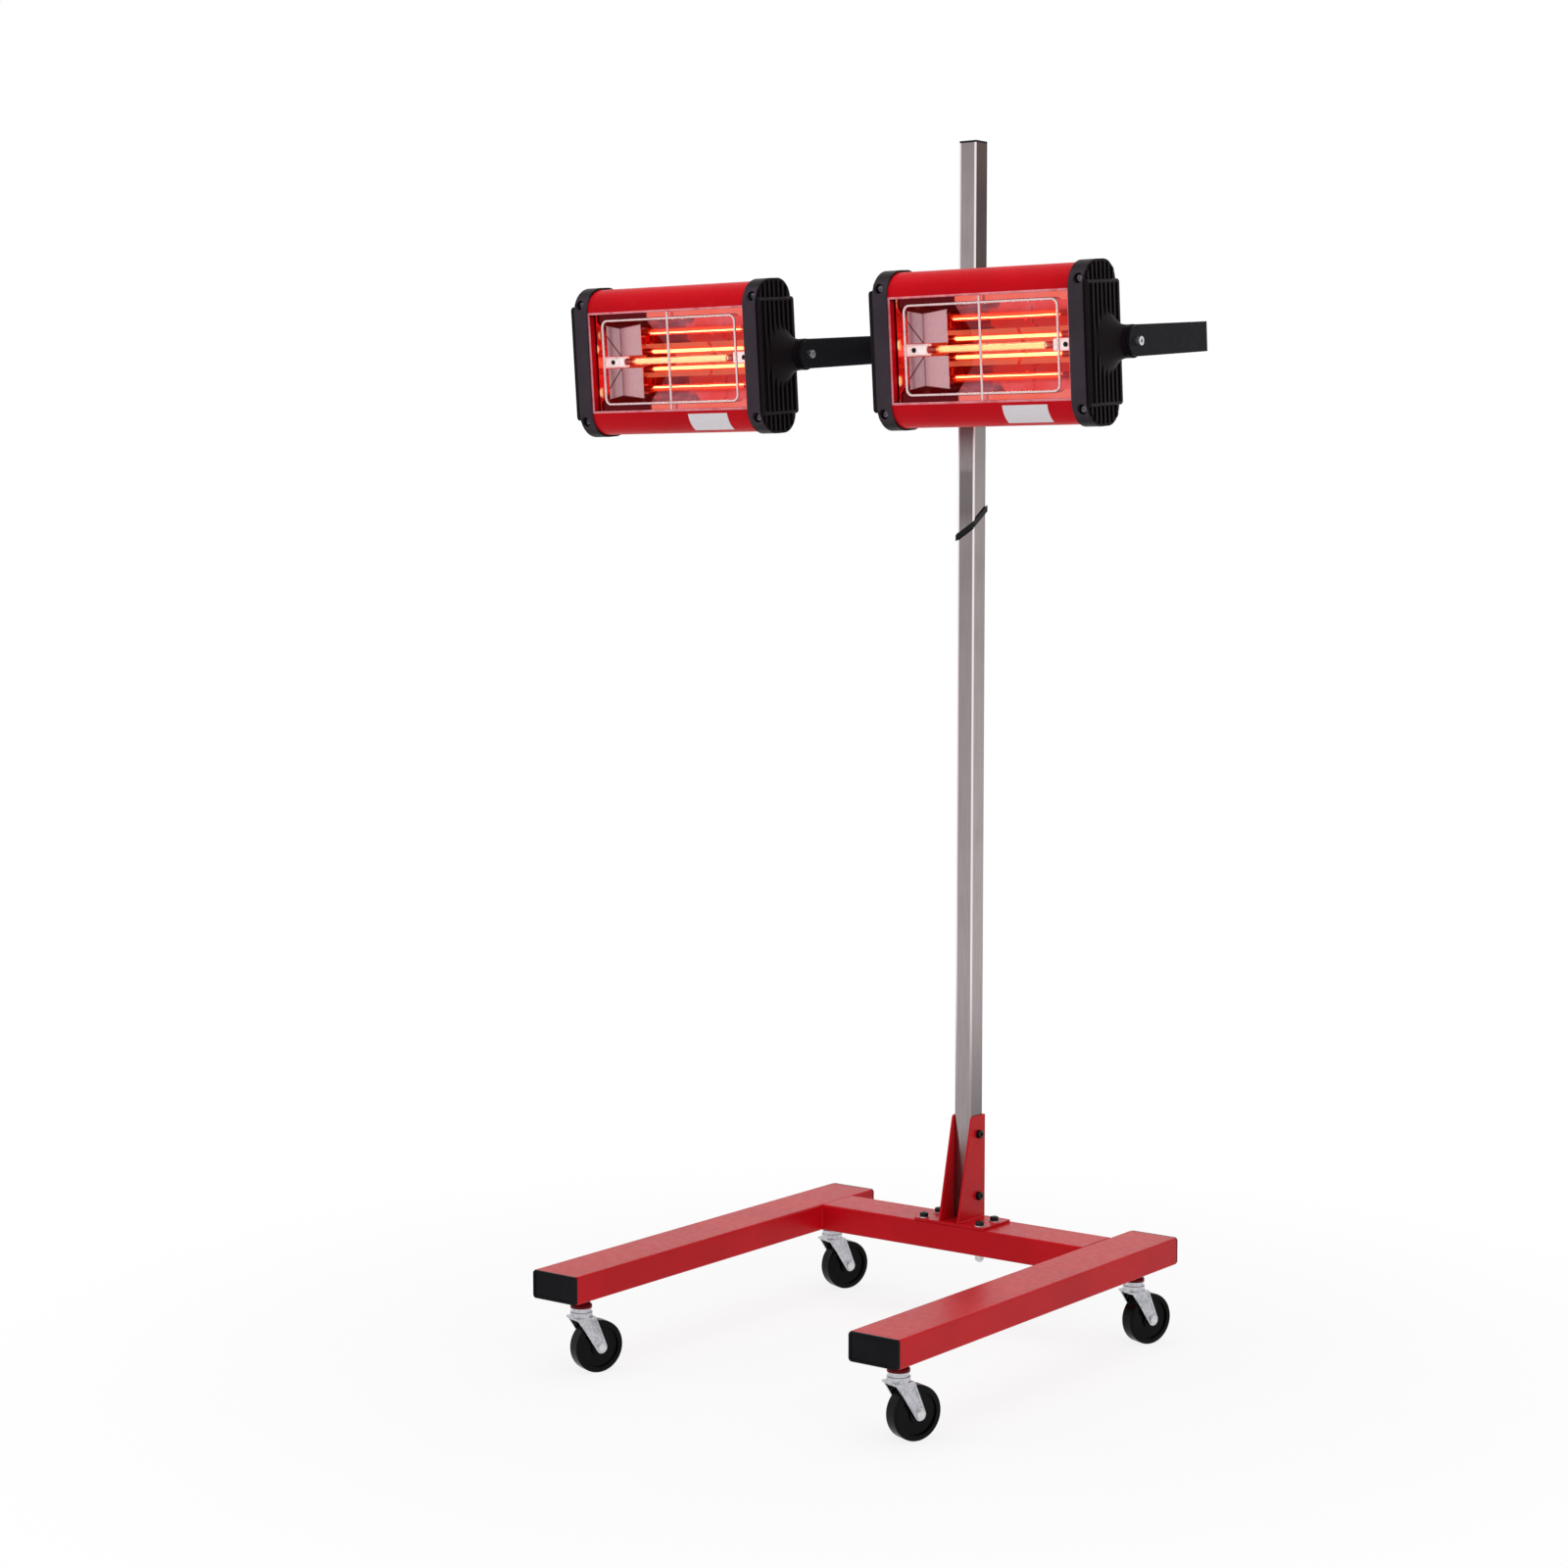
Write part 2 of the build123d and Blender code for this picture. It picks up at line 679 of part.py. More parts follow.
def make_sleeve_liners():
    """Two slide bushes pressed into the ends of the sleeve."""
    inner = post_width + 2 * liner_gap
    bore = sleeve_width - 2 * sleeve_wall
    body = extrude(RectangleRounded(bore, bore, sleeve_wall / 4), liner_height)
    lip = extrude(RectangleRounded(sleeve_width, sleeve_width, sleeve_wall), liner_lip)
    lip = Pos(0, 0, -liner_lip) * lip
    hole = Pos(0, 0, -cut_overrun) * extrude(Rectangle(inner, inner), liner_height + 2 * cut_overrun)
    bush = body + lip - hole
    low = Pos(0, post_y, arm_height - sleeve_height / 2) * bush
    high = Pos(0, post_y, arm_height + sleeve_height / 2) * Rot(180, 0, 0) * bush
    return [low, high]


def star_knob(bore_radius, bore_depth):
    """Moulded star knob standing on z = 0 on a round neck, with a blind bore from below."""
    top_z = knob_neck_height + knob_height
    body = rod(knob_diameter / 2 - knob_lobe_diameter / 4, knob_neck_height, top_z, "z")
    ring = knob_diameter / 2
    scoop = rod(knob_lobe_diameter / 2, 0, 2 * knob_height + knob_neck_height, "z")
    for place in PolarLocations(ring, knob_lobes):
        body -= place * scoop
    crown = body.edges().filter_by(Plane.XY).group_by(Axis.Z)[-1]
    body = chamfer(crown, knob_lobe_diameter / 6)
    neck = rod(knob_neck_diameter / 2, 0, top_z / 2, "z")
    knob = body + neck
    if bore_radius > 0:
        knob -= rod(bore_radius, -cut_overrun, bore_depth, "z")
    return knob


def make_lock_knob():
    """Clamp knob behind the sleeve: its stud reaches the post."""
    knob_y = post_y + sleeve_width / 2 + sleeve_boss_length + seat_gap
    tip_y = post_y + post_width / 2 + seat_gap
    knob = Pos(0, knob_y, 0) * Rot(-90, 0, 0) * star_knob(0, 0)
    stud = rod(knob_stud_diameter / 2, tip_y, knob_y + knob_neck_height, "y")
    return Pos(0, 0, arm_height) * (knob + stud)


def make_cross_arm():
    """Square tube across the front of the hinge, with two ears back to the hinge pin."""
    half_length = head_spacing / 2 + arm_overhang
    tube = square_tube(arm_tube, arm_tube, arm_wall, arm_corner, 2 * half_length)
    arm = Pos(-half_length, arm_y, 0) * Rot(0, 90, 0) * tube
    ear_low_x = boom_thickness / 2 + seat_gap
    ear = box_between(
        (ear_low_x, -hinge_setback, -hinge_ear_radius),
        (ear_low_x + hinge_ear_thickness, 0, hinge_ear_radius),
    )
    ear += rod(hinge_ear_radius, ear_low_x, ear_low_x + hinge_ear_thickness, "x")
    ear -= rod(hinge_pin_diameter / 2, 0, 2 * boom_thickness, "x")
    ear = ear & box_between(
        (0, -hinge_setback, -arm_tube / 2),
        (2 * boom_thickness, hinge_ear_radius, arm_tube / 2),
    )
    arm += ear
    arm += mirror(ear, about=Plane.YZ)
    for side in (-1, 1):
        hole = rod(yoke_bolt_diameter / 2 + running_gap, arm_y - arm_tube, arm_y + arm_tube, "y")
        arm -= Pos(side * head_spacing / 2, 0, 0) * hole
    return arm


def make_arm_caps():
    """Two plugs in the ends of the cross arm."""
    plug = tube_plug(arm_tube, arm_tube, arm_wall, arm_corner, arm_cap_flange, arm_cap_plug)
    end_x = head_spacing / 2 + arm_overhang
    return [Pos(side * end_x, arm_y, 0) * Rot(0, side * 90, 0) * plug for side in (-1, 1)]


def make_hinge_pin():
    """Bolt through the arm's ears and the boom: head on the left, thread for the knob on the right."""
    outer_x = boom_thickness / 2 + seat_gap + hinge_ear_thickness
    pin = rod(hinge_pin_diameter / 2, -outer_x, outer_x + hinge_pin_tail, "x")
    head = rod(hinge_pin_head_diameter / 2, -outer_x - hinge_pin_head_height, -outer_x, "x")
    return pin + head


def make_tilt_knob():
    """Knob on the hinge pin's thread that locks the arm's pitch."""
    outer_x = boom_thickness / 2 + 2 * seat_gap + hinge_ear_thickness
    knob = star_knob(hinge_pin_diameter / 2 + running_gap, hinge_pin_tail)
    return Pos(outer_x, 0, 0) * Rot(0, 90, 0) * knob


def make_yoke():
    """Flat bar bent to a U: two arms forward from the bar that is bolted to the cross arm."""
    outer = yoke_outer_x
    inner = outer - yoke_bar_thickness
    back = yoke_back_y
    bend_inner = yoke_bend_radius - yoke_bar_thickness
    outline = Pos(0, back - yoke_reach) * Rectangle(2 * outer, 2 * yoke_reach)
    outline = fillet(outline.vertices().group_by(Axis.Y)[-1], yoke_bend_radius)
    window = Pos(0, back - yoke_bar_thickness - yoke_reach) * Rectangle(2 * inner, 2 * yoke_reach)
    window = fillet(window.vertices().group_by(Axis.Y)[-1], bend_inner)
    keep = Pos(0, pivot_y) * Rectangle(4 * outer, 4 * yoke_reach, align=(Align.CENTER, Align.MIN))
    bar = extrude((outline - window) & keep, yoke_bar_height)
    yoke = Pos(0, 0, -yoke_bar_height / 2) * bar
    for side in (-1, 1):
        low, high = sorted((side * inner, side * outer))
        end = Pos(0, pivot_y, 0) * rod(yoke_bar_height / 2, low, high, "x")
        hole = rod(pivot_bolt_diameter / 2, low - cut_overrun, high + cut_overrun, "x")
        yoke = yoke + end - Pos(0, pivot_y, 0) * hole
    return yoke - rod(yoke_bolt_diameter / 2, back - 2 * yoke_bar_thickness, back + cut_overrun, "y")


def make_yoke_bolt():
    """Swivel bolt through the yoke and the cross arm, with its washer and nut behind the arm."""
    head_y = yoke_back_y - yoke_bar_thickness
    washer_y = -hinge_setback + seat_gap
    nut_y = washer_y + yoke_washer_thickness
    end_y = nut_y + yoke_nut_height + bolt_tail
    bolt = rod(yoke_bolt_diameter / 2, head_y, end_y, "y")
    bolt += rod(yoke_bolt_head_diameter / 2, head_y - yoke_bolt_head_height, head_y, "y")
    washer = rod(yoke_washer_diameter / 2, washer_y, nut_y, "y")
    washer -= rod(yoke_bolt_diameter / 2, washer_y - cut_overrun, nut_y + cut_overrun, "y")
    nut = Pos(0, nut_y, 0) * Rot(-90, 0, 0) * hex_nut(yoke_nut_width, yoke_nut_height, yoke_bolt_diameter / 2)
    return [bolt, washer, nut]


def make_pivot_bolts():
    """Two socket screws that carry the head, one through each arm of the yoke."""
    shank = rod(pivot_bolt_diameter / 2, yoke_outer_x - pivot_bolt_length, yoke_outer_x, "x")
    head = rod(pivot_bolt_head_diameter / 2, yoke_outer_x, yoke_outer_x + pivot_bolt_head_height, "x")
    socket = extrude(RegularPolygon(pivot_socket_width / 2, 6, major_radius=False), pivot_socket_depth)
    socket_x = yoke_outer_x + pivot_bolt_head_height - pivot_socket_depth
    head -= Pos(socket_x, 0, 0) * Rot(0, 90, 0) * socket
    bolt = Pos(0, pivot_y, 0) * (shank + head)
    return [bolt, mirror(bolt, about=Plane.YZ)]


def section_face(grow):
    """Cross-section of a head, depth on X and height on Y, grown outwards by a wall or a fit."""
    half = body_half_height + grow
    front = -grow
    back = body_depth + grow
    front_radius = body_front_radius + grow
    rear_radius = body_rear_radius + grow
    edges = [
        Line((front, front_radius - half), (front, half - front_radius)),
        RadiusArc((front, half - front_radius), (front + front_radius, half), front_radius),
        Line((front + front_radius, half), (back - rear_radius, half)),
        RadiusArc((back - rear_radius, half), (back, half - rear_radius), rear_radius),
        Line((back, half - rear_radius), (back, rear_radius - half)),
        RadiusArc((back, rear_radius - half), (back - rear_radius, -half), rear_radius),
        Line((back - rear_radius, -half), (front + front_radius, -half)),
        RadiusArc((front + front_radius, -half), (front, front_radius - half), front_radius),
    ]
    return make_face(edges)


def section_solid(grow, start_x, end_x):
    """Length of the head's section between two places along the head."""
    return Pos(start_x, 0, 0) * swap_to_depth(extrude(section_face(grow), end_x - start_x))


def make_housing():
    """Red sheet shell: window with beaded, turned-in hems in front, vent slots and fittings' holes behind."""
    half = housing_half_length
    shell = section_solid(0, -half, half) - section_solid(-body_sheet, -2 * half, 2 * half)
    open_x = body_half_length - window_end_frame
    frame = box_between(
        (-open_x - body_sheet, 0, -window_half_height - body_sheet),
        (open_x + body_sheet, window_hem, window_half_height + body_sheet),
    )
    opening = box_between(
        (-open_x, -body_sheet, -window_half_height),
        (open_x, window_hem + body_sheet, window_half_height),
    )
    shell = shell + frame - opening
    bead_x = open_x + window_bead_proud
    bead_y = window_bead_radius - window_bead_proud
    bead_z = window_half_height + window_bead_proud
    for side in (-1, 1):
        shell += Pos(0, bead_y, side * bead_z) * rod(window_bead_radius, -bead_x, bead_x, "x")
        shell += Pos(side * bead_x, bead_y, 0) * rod(window_bead_radius, -bead_z, bead_z, "z")
    back_low = body_depth - 2 * body_sheet
    back_high = body_depth + cut_overrun
    slot = box_between(
        (-vent_width / 2, back_low, -vent_height / 2), (vent_width / 2, back_high, vent_height / 2)
    )
    first_x = -vent_pitch * (vent_columns - 1) / 2
    for row in (-1, 1):
        for column in range(vent_columns):
            shell -= Pos(first_x + column * vent_pitch, 0, row * vent_rise) * slot
    bezel_half_x = bezel_width / 2 - bezel_wall
    bezel_half_z = bezel_height / 2 - bezel_wall
    shell -= box_between(
        (-switch_offset - bezel_half_x, back_low, switch_rise - bezel_half_z),
        (-switch_offset + bezel_half_x, back_high, switch_rise + bezel_half_z),
    )
    gland_hole = rod(gland_dome_diameter / 2 - body_sheet, back_low, back_high, "y")
    return shell - Pos(gland_offset, 0, -gland_drop) * gland_hole


def reflector_corners():
    """Front and back edges of the folded reflector, as height and depth, from its top to its bottom."""
    upper = [
        (reflector_outer_half + reflector_lip, reflector_lip_y),
        (reflector_outer_half, reflector_lip_y),
        (reflector_inner_half, reflector_lip_y + outer_drop),
        (0, reflector_back_y),
    ]
    return upper + [(-z, y) for z, y in reversed(upper[:-1])]


def make_reflector():
    """Polished trough of four facets with flat end plates and a creased shield before the tube's left end."""
    half = body_half_length - reflector_end_gap
    line = reflector_corners()
    front = [(y, z) for z, y in line]
    back = [(y + reflector_sheet, z) for z, y in line]
    trough = swap_to_depth(extrude(polyline_face(front + back[::-1]), 2 * half))
    inside_face = polyline_face(front[1:-1])
    plate_face = inside_face - Pos(lamp_tube_y, 0) * Circle(lamp_tube_hole / 2)
    plate = swap_to_depth(extrude(plate_face, reflector_sheet))
    reflector = Pos(-half, 0, 0) * (trough + plate + Pos(2 * half - reflector_sheet, 0, 0) * plate)
    inside = Pos(-half, 0, 0) * swap_to_depth(extrude(inside_face, 2 * half))
    edge_y = reflector_lip_y + shield_setback
    crease_y = edge_y + shield_crease_drop
    outer_x = shield_end_gap - half
    crease_x = outer_x + shield_outer_width
    inner_x = crease_x + shield_inner_width
    shield_face = polyline_face([
        (outer_x, edge_y),
        (crease_x, crease_y),
        (inner_x, edge_y),
        (inner_x, edge_y + reflector_sheet),
        (crease_x, crease_y + reflector_sheet),
        (outer_x, edge_y + reflector_sheet),
    ])
    shield = Pos(0, 0, -body_half_height) * extrude(shield_face, 2 * body_half_height) & inside
    shield -= box_between((-half, 0, -shield_slot_half), (0, body_depth, shield_slot_half))
    return reflector + shield


def holder_inner_x():
    """Inner end of a tube holder, from the head's middle."""
    return body_half_length - reflector_end_gap - reflector_sheet - holder_length


def make_lamp_tube():
    """Quartz tube gripped by a holder at each end."""
    end = holder_inner_x() + holder_grip
    return Pos(0, lamp_tube_y, 0) * rod(lamp_tube_diameter / 2, -end, end, "x")


def make_tube_holders():
    """Ceramic blocks on the reflector's end plates, bored for the tube and drilled for a screw."""
    start = holder_inner_x()
    end = start + holder_length
    low_y = lamp_tube_y - holder_depth / 2
    high_y = lamp_tube_y + holder_depth / 2
    block = box_between((start, low_y, -holder_height / 2), (end, high_y, holder_height / 2))
    block = chamfer(block.edges().filter_by(Axis.X), body_sheet)
    grip = rod(lamp_tube_diameter / 2, start - cut_overrun, start + holder_grip, "x")
    block -= Pos(0, lamp_tube_y, 0) * grip
    screw_place_x = start + holder_grip + holder_screw_diameter
    block -= Pos(screw_place_x, 0, 0) * rod(holder_screw_diameter / 2, low_y - cut_overrun, lamp_tube_y, "y")
    return [block, mirror(block, about=Plane.YZ)]


def make_guard():
    """Welded wire guard: a rounded loop and one upright bar whose ends reach the window's hems."""
    wire = guard_wire / 2
    path = Pos(0, 0) * RectangleRounded(2 * guard_half_length, 2 * guard_half_height, guard_corner)
    loop_wire = path.wire()
    start = loop_wire @ 0
    tangent = loop_wire % 0
    profile = Plane(origin=start, z_dir=tangent) * Circle(wire)
    loop = Rot(90, 0, 0) * sweep(profile, path=loop_wire)
    bar = rod(wire, -window_half_height, window_half_height, "z")
    return Pos(0, guard_inset, 0) * (loop + bar)


def plane_across(x, y):
    """Plane square to the head's length, its own X pointing backwards."""
    return Plane(origin=(x, y, 0), x_dir=(0, 1, 0), z_dir=(1, 0, 0))


def make_end_cap():
    """Moulded cap for the right end: ridged side, screw ears, and a neck out to the pivot knuckle."""
    wall_out = cap_fit + cap_wall
    shell = section_solid(wall_out, body_half_length, cap_ear_x)
    zone = box_between(
        (0, cap_block_inset - wall_out, -cap_block_half_height),
        (2 * cap_block_x, body_depth + wall_out - cap_block_inset, cap_block_half_height),
    )
    block = section_solid(wall_out, cap_ear_x, cap_block_x) & zone
    block = fillet(block.edges().filter_by(Axis.Y).group_by(Axis.X)[-1], cap_block_rounding)
    cap = shell + block
    ridge_zone = zone & box_between(
        (0, -body_depth, cap_block_rounding - cap_block_half_height),
        (2 * cap_block_x, 2 * body_depth, cap_block_half_height - cap_block_rounding),
    )
    for index in range(ridge_count):
        y = body_depth / 2 + (index - (ridge_count - 1) / 2) * ridge_pitch
        strip = box_between(
            (0, y - ridge_width / 2, -body_half_height),
            (2 * cap_block_x, y + ridge_width / 2, body_half_height),
        )
        cap += section_solid(0, cap_ear_x, cap_ear_x + ridge_height) & strip
        cap += section_solid(0, cap_block_x, cap_block_x + ridge_height) & strip & ridge_zone
    cap -= section_solid(cap_fit, body_half_length - cut_overrun, cap_ear_x - cap_wall)
    hollow = box_between(
        (0, cap_block_inset + cap_wall, cap_wall - cap_block_half_height),
        (2 * cap_block_x, body_depth - cap_wall - cap_block_inset, cap_block_half_height - cap_wall),
    )
    cap -= section_solid(-cap_wall, cap_ear_x - 2 * cap_wall, cap_block_x - cap_wall) & hollow
    base_plane = plane_across(cap_block_x, neck_base_setback)
    waist_plane = plane_across(cap_block_x + neck_waist_length, neck_waist_setback)
    base = base_plane * Ellipse(neck_base_half_depth, neck_base_half_height)
    waist = waist_plane * Circle(neck_waist_radius)
    tip = plane_across(knuckle_x, pivot_setback) * Circle(knuckle_radius)
    cap += loft([base.face(), waist.face(), tip.face()])
    pivot = Pos(0, pivot_setback, 0)
    cap += pivot * rod(knuckle_radius, knuckle_x, knuckle_face_x, "x")
    cap -= pivot * rod(
        pivot_bolt_diameter / 2 + running_gap, knuckle_face_x - pivot_bore_length, 2 * knuckle_face_x, "x"
    )
    boss_radius = screw_pocket_diameter / 2 + screw_boss_wall
    boss_region = section_solid(cap_fit + cap_wall, housing_half_length + cap_fit, cap_ear_x)
    for side in (-1, 1):
        place = Pos(screw_x, 0, side * screw_height)
        boss_end = screw_pocket_depth + screw_length
        cap += place * rod(boss_radius, -wall_out, boss_end, "y") & boss_region
        cap -= place * rod(screw_pocket_diameter / 2, -2 * wall_out, screw_pocket_depth, "y")
        cap -= place * rod(screw_diameter / 2, 0, screw_pocket_depth + screw_length - screw_boss_wall, "y")
    return cap


def make_cap_screws():
    """Four cross-head screws in the pockets of the end caps."""
    head = rod(screw_head_diameter / 2, 0, screw_head_height, "z")
    slot = cross_slot(screw_cross_width, screw_head_diameter / 2, screw_cross_depth)
    head -= Pos(0, 0, screw_head_height) * slot
    screw = head + rod(screw_diameter / 2, screw_boss_wall * 2 - screw_length, 0, "z")
    screw = Rot(90, 0, 0) * screw
    solids = []
    for side_x in (-1, 1):
        for side_z in (-1, 1):
            solids.append(Pos(side_x * screw_x, screw_pocket_depth, side_z * screw_height) * screw)
    return solids


def make_switch_bezel():
    """Rectangular switch frame clipped into the back of the housing."""
    lip = box_between(
        (-bezel_width / 2, body_depth, -bezel_height / 2),
        (bezel_width / 2, body_depth + bezel_lip, bezel_height / 2),
    )
    inner_x = bezel_width / 2 - 2 * bezel_wall
    inner_z = bezel_height / 2 - 2 * bezel_wall
    body = box_between(
        (bezel_wall - bezel_width / 2, body_depth - bezel_body_depth, bezel_wall - bezel_height / 2),
        (bezel_width / 2 - bezel_wall, body_depth, bezel_height / 2 - bezel_wall),
    )
    cavity = box_between(
        (-inner_x, body_depth - bezel_body_depth + bezel_wall, -inner_z),
        (inner_x, body_depth + 2 * bezel_lip, inner_z),
    )
    pin_y = body_depth + rocker_proud - rocker_depth
    pin = Pos(0, pin_y, 0) * rod(rocker_pin_diameter / 2, -inner_x, inner_x, "x")
    bezel = lip + body - cavity + pin
    return Pos(-switch_offset, 0, switch_rise) * bezel


def make_rocker():
    """Rocker of the switch: a dipped block on its pin, resting with one half pressed in."""
    half_x = bezel_width / 2 - 2 * bezel_wall - rocker_gap
    free_z = bezel_height / 2 - 2 * bezel_wall - rocker_gap
    reach_z = (free_z - rocker_depth * sin(radians(rocker_rest_deg))) / cos(radians(rocker_rest_deg))
    corners = [
        (0, -reach_z),
        (rocker_depth, -reach_z),
        (rocker_depth - rocker_dip, 0),
        (rocker_depth, reach_z),
        (0, reach_z),
    ]
    body = Pos(-half_x, 0, 0) * swap_to_depth(extrude(polyline_face(corners), 2 * half_x))
    hub = rod(rocker_pin_diameter, -half_x, half_x, "x")
    rocker = body + hub - rod(rocker_pin_diameter / 2 + running_gap, -2 * half_x, 2 * half_x, "x")
    pin_y = body_depth + rocker_proud - rocker_depth
    return Pos(-switch_offset, pin_y, switch_rise) * Rot(-rocker_rest_deg, 0, 0) * rocker


def make_gland():
    """Cable gland at the back: domed nut with the cord's bore, then a wider hexagon and thread."""
    bore = gland_bore / 2
    collar = Pos(0, body_depth, 0) * Rot(-90, 0, 0) * hex_nut(gland_hex_width, gland_hex_height, bore)
    dome_start = body_depth + gland_hex_height
    dome = rod(gland_dome_diameter / 2, dome_start, dome_start + gland_dome_length, "y")
    dome = fillet(dome.edges().filter_by(GeomType.CIRCLE).sort_by(Axis.Y)[-1], gland_bore / 3)
    thread = rod(gland_dome_diameter / 2 - body_sheet, body_depth - gland_thread_length, body_depth, "y")
    gland = collar + dome + thread
    gland -= rod(bore, body_depth, dome_start + 2 * gland_dome_length, "y")
    gland -= rod(gland_thread_bore / 2, body_depth - 2 * gland_thread_length, dome_start, "y")
    return Pos(gland_offset, 0, -gland_drop) * gland


def as_solids(shape):
    """List of the separate solids of a shape or of a list of shapes."""
    if isinstance(shape, list):
        return [solid for item in shape for solid in item.solids()]
    return list(shape.solids())


def write_node(name, shape, place=Location((0, 0, 0))):
    """Write one node's solids to its STEP file."""
    solids = [place * solid for solid in as_solids(shape)]
    body = solids[0] if len(solids) == 1 else Compound(children=solids)
    body.label = name
    export_step(body, f"parts/{name}.step")


def write_stand():
    """Base, bracket, post and the fixed parts of the casters."""
    write_node("left_leg", make_leg(-1))
    write_node("right_leg", make_leg(1))
    write_node("crossbar", make_crossbar())
    write_node("leg_end_caps", make_leg_caps())
    write_node("caster_sockets", make_caster_sockets())
    write_node("caster_kingpins", make_kingpins())
    write_node("bracket_plate", make_bracket_plate())
    write_node("post_bracket", make_post_bracket())
    write_node("plate_bolts", make_plate_bolts())
    write_node("post_bolts", make_post_bolts())
    write_node("post", make_post())
    write_node("post_cap", make_post_cap())
    write_node("post_band", make_post_band())


def write_casters():
    """Fork, axle and wheel of each caster."""
    fork = make_fork()
    wheel = make_wheel()
    axle = make_axle()
    for name, (x, y) in kingpin_places().items():
        place = Location((x, y, 0), (0, 0, -caster_yaw_deg))
        write_node(f"fork_{name}", fork, place)
        write_node(f"wheel_{name}", wheel, place)
        write_node(f"axle_{name}", axle, place)


def write_carriage():
    """Sliding sleeve, its knob, and the cross arm on its hinge."""
    write_node("carriage_sleeve", make_carriage_sleeve())
    write_node("sleeve_liners", make_sleeve_liners())
    write_node("lock_knob", make_lock_knob())
    write_node("cross_arm", make_cross_arm(), arm_frame)
    write_node("arm_end_caps", make_arm_caps(), arm_frame)
    write_node("hinge_pin", make_hinge_pin(), arm_frame)
    write_node("tilt_knob", make_tilt_knob(), arm_frame)


def write_heads():
    """Two yokes with the same head in each."""
    yoke = make_yoke()
    yoke_bolt = make_yoke_bolt()
    pivot_bolts = make_pivot_bolts()
    right_cap = make_end_cap()
    left_cap = mirror(right_cap, about=Plane.YZ)
    head_parts = {
        "housing": make_housing(),
        "reflector": make_reflector(),
        "lamp_tube": make_lamp_tube(),
        "tube_holders": make_tube_holders(),
        "wire_guard": make_guard(),
        "outer_cap": right_cap,
        "inner_cap": left_cap,
        "cap_screws": make_cap_screws(),
        "switch_bezel": make_switch_bezel(),
        "rocker": make_rocker(),
        "cable_gland": make_gland(),
    }
    for name, side in (("left", -1), ("right", 1)):
        yoke_place = arm_frame * Location((side * head_spacing / 2, 0, 0))
        head_place = arm_frame * Location((side * head_spacing / 2, window_y, 0))
        write_node(f"{name}_yoke", yoke, yoke_place)
        write_node(f"{name}_yoke_bolt", yoke_bolt, yoke_place)
        write_node(f"{name}_pivot_bolts", pivot_bolts, yoke_place)
        for part, shape in head_parts.items():
            write_node(f"{name}_{part}", shape, head_place)


os.makedirs("parts", exist_ok=True)
write_stand()
write_casters()
write_carriage()
write_heads()
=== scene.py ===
"""Dresses the paint curing lamp: two glowing heads on a red rolling stand.

Everything is in metres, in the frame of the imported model: the floor is z = 0 and the heads face -Y.
"""

import json
import logging
import math
from collections.abc import Sequence
from dataclasses import dataclass, field
from enum import Enum
from typing import Protocol

import bmesh
import bpy
from mathutils import Matrix, Vector


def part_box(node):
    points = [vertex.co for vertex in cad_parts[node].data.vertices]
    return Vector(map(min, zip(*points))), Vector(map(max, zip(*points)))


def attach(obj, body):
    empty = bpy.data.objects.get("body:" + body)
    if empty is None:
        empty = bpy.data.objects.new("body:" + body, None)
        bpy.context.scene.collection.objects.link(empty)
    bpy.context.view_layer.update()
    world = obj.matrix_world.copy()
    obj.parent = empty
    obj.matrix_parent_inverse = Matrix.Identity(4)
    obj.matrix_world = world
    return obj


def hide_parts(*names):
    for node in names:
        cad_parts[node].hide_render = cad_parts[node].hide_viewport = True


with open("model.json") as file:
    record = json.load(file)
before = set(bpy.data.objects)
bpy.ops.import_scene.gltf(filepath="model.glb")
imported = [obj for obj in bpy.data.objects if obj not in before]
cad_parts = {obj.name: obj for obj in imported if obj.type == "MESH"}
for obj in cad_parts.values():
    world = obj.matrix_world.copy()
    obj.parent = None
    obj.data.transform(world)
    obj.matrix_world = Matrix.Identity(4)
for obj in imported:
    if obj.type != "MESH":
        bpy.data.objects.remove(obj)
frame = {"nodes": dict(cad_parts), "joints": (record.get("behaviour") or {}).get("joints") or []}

LOG = logging.getLogger("lamp")
MM = 0.001
CORNERS = ("front_left", "front_right", "rear_left", "rear_right")
ENDS = (-1, 1)
ACROSS = Vector((1, 0, 0))
WHITE = (1.0, 1.0, 1.0, 1.0)
PLATE_WASHER = 1.5 * MM
Colour = tuple[float, float, float]
Place = tuple[float, float, float]
Spots = tuple[float, float]  # of noise: spots per metre and octaves of finer spots


def dimmed(colour: Colour, share: float) -> Colour:
    """Keeps a share of a colour's light."""
    return tuple(share * part for part in colour)


def corners(node: str) -> tuple[Vector, Vector]:
    """Lowest and highest corner of a node's box.

    Args:
        node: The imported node.

    Returns:
        Both corners, in metres.
    """
    low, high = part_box(node)
    return Vector(low), Vector(high)


def centre(node: str) -> Vector:
    """Middle of a node's box.

    Args:
        node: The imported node.

    Returns:
        The middle, in metres.
    """
    low, high = corners(node)
    return (low + high) / 2


@dataclass(frozen=True)
class Clouds:
    """Cloudy pattern: spots per metre, octaves of finer spots, and the noise that gives 0 and 1."""

    scale: float
    detail: float
    low: float
    high: float


@dataclass(frozen=True)
class Relief:
    """Full height of a surface relief in metres, and how much of it shows."""

    depth: float
    strength: float


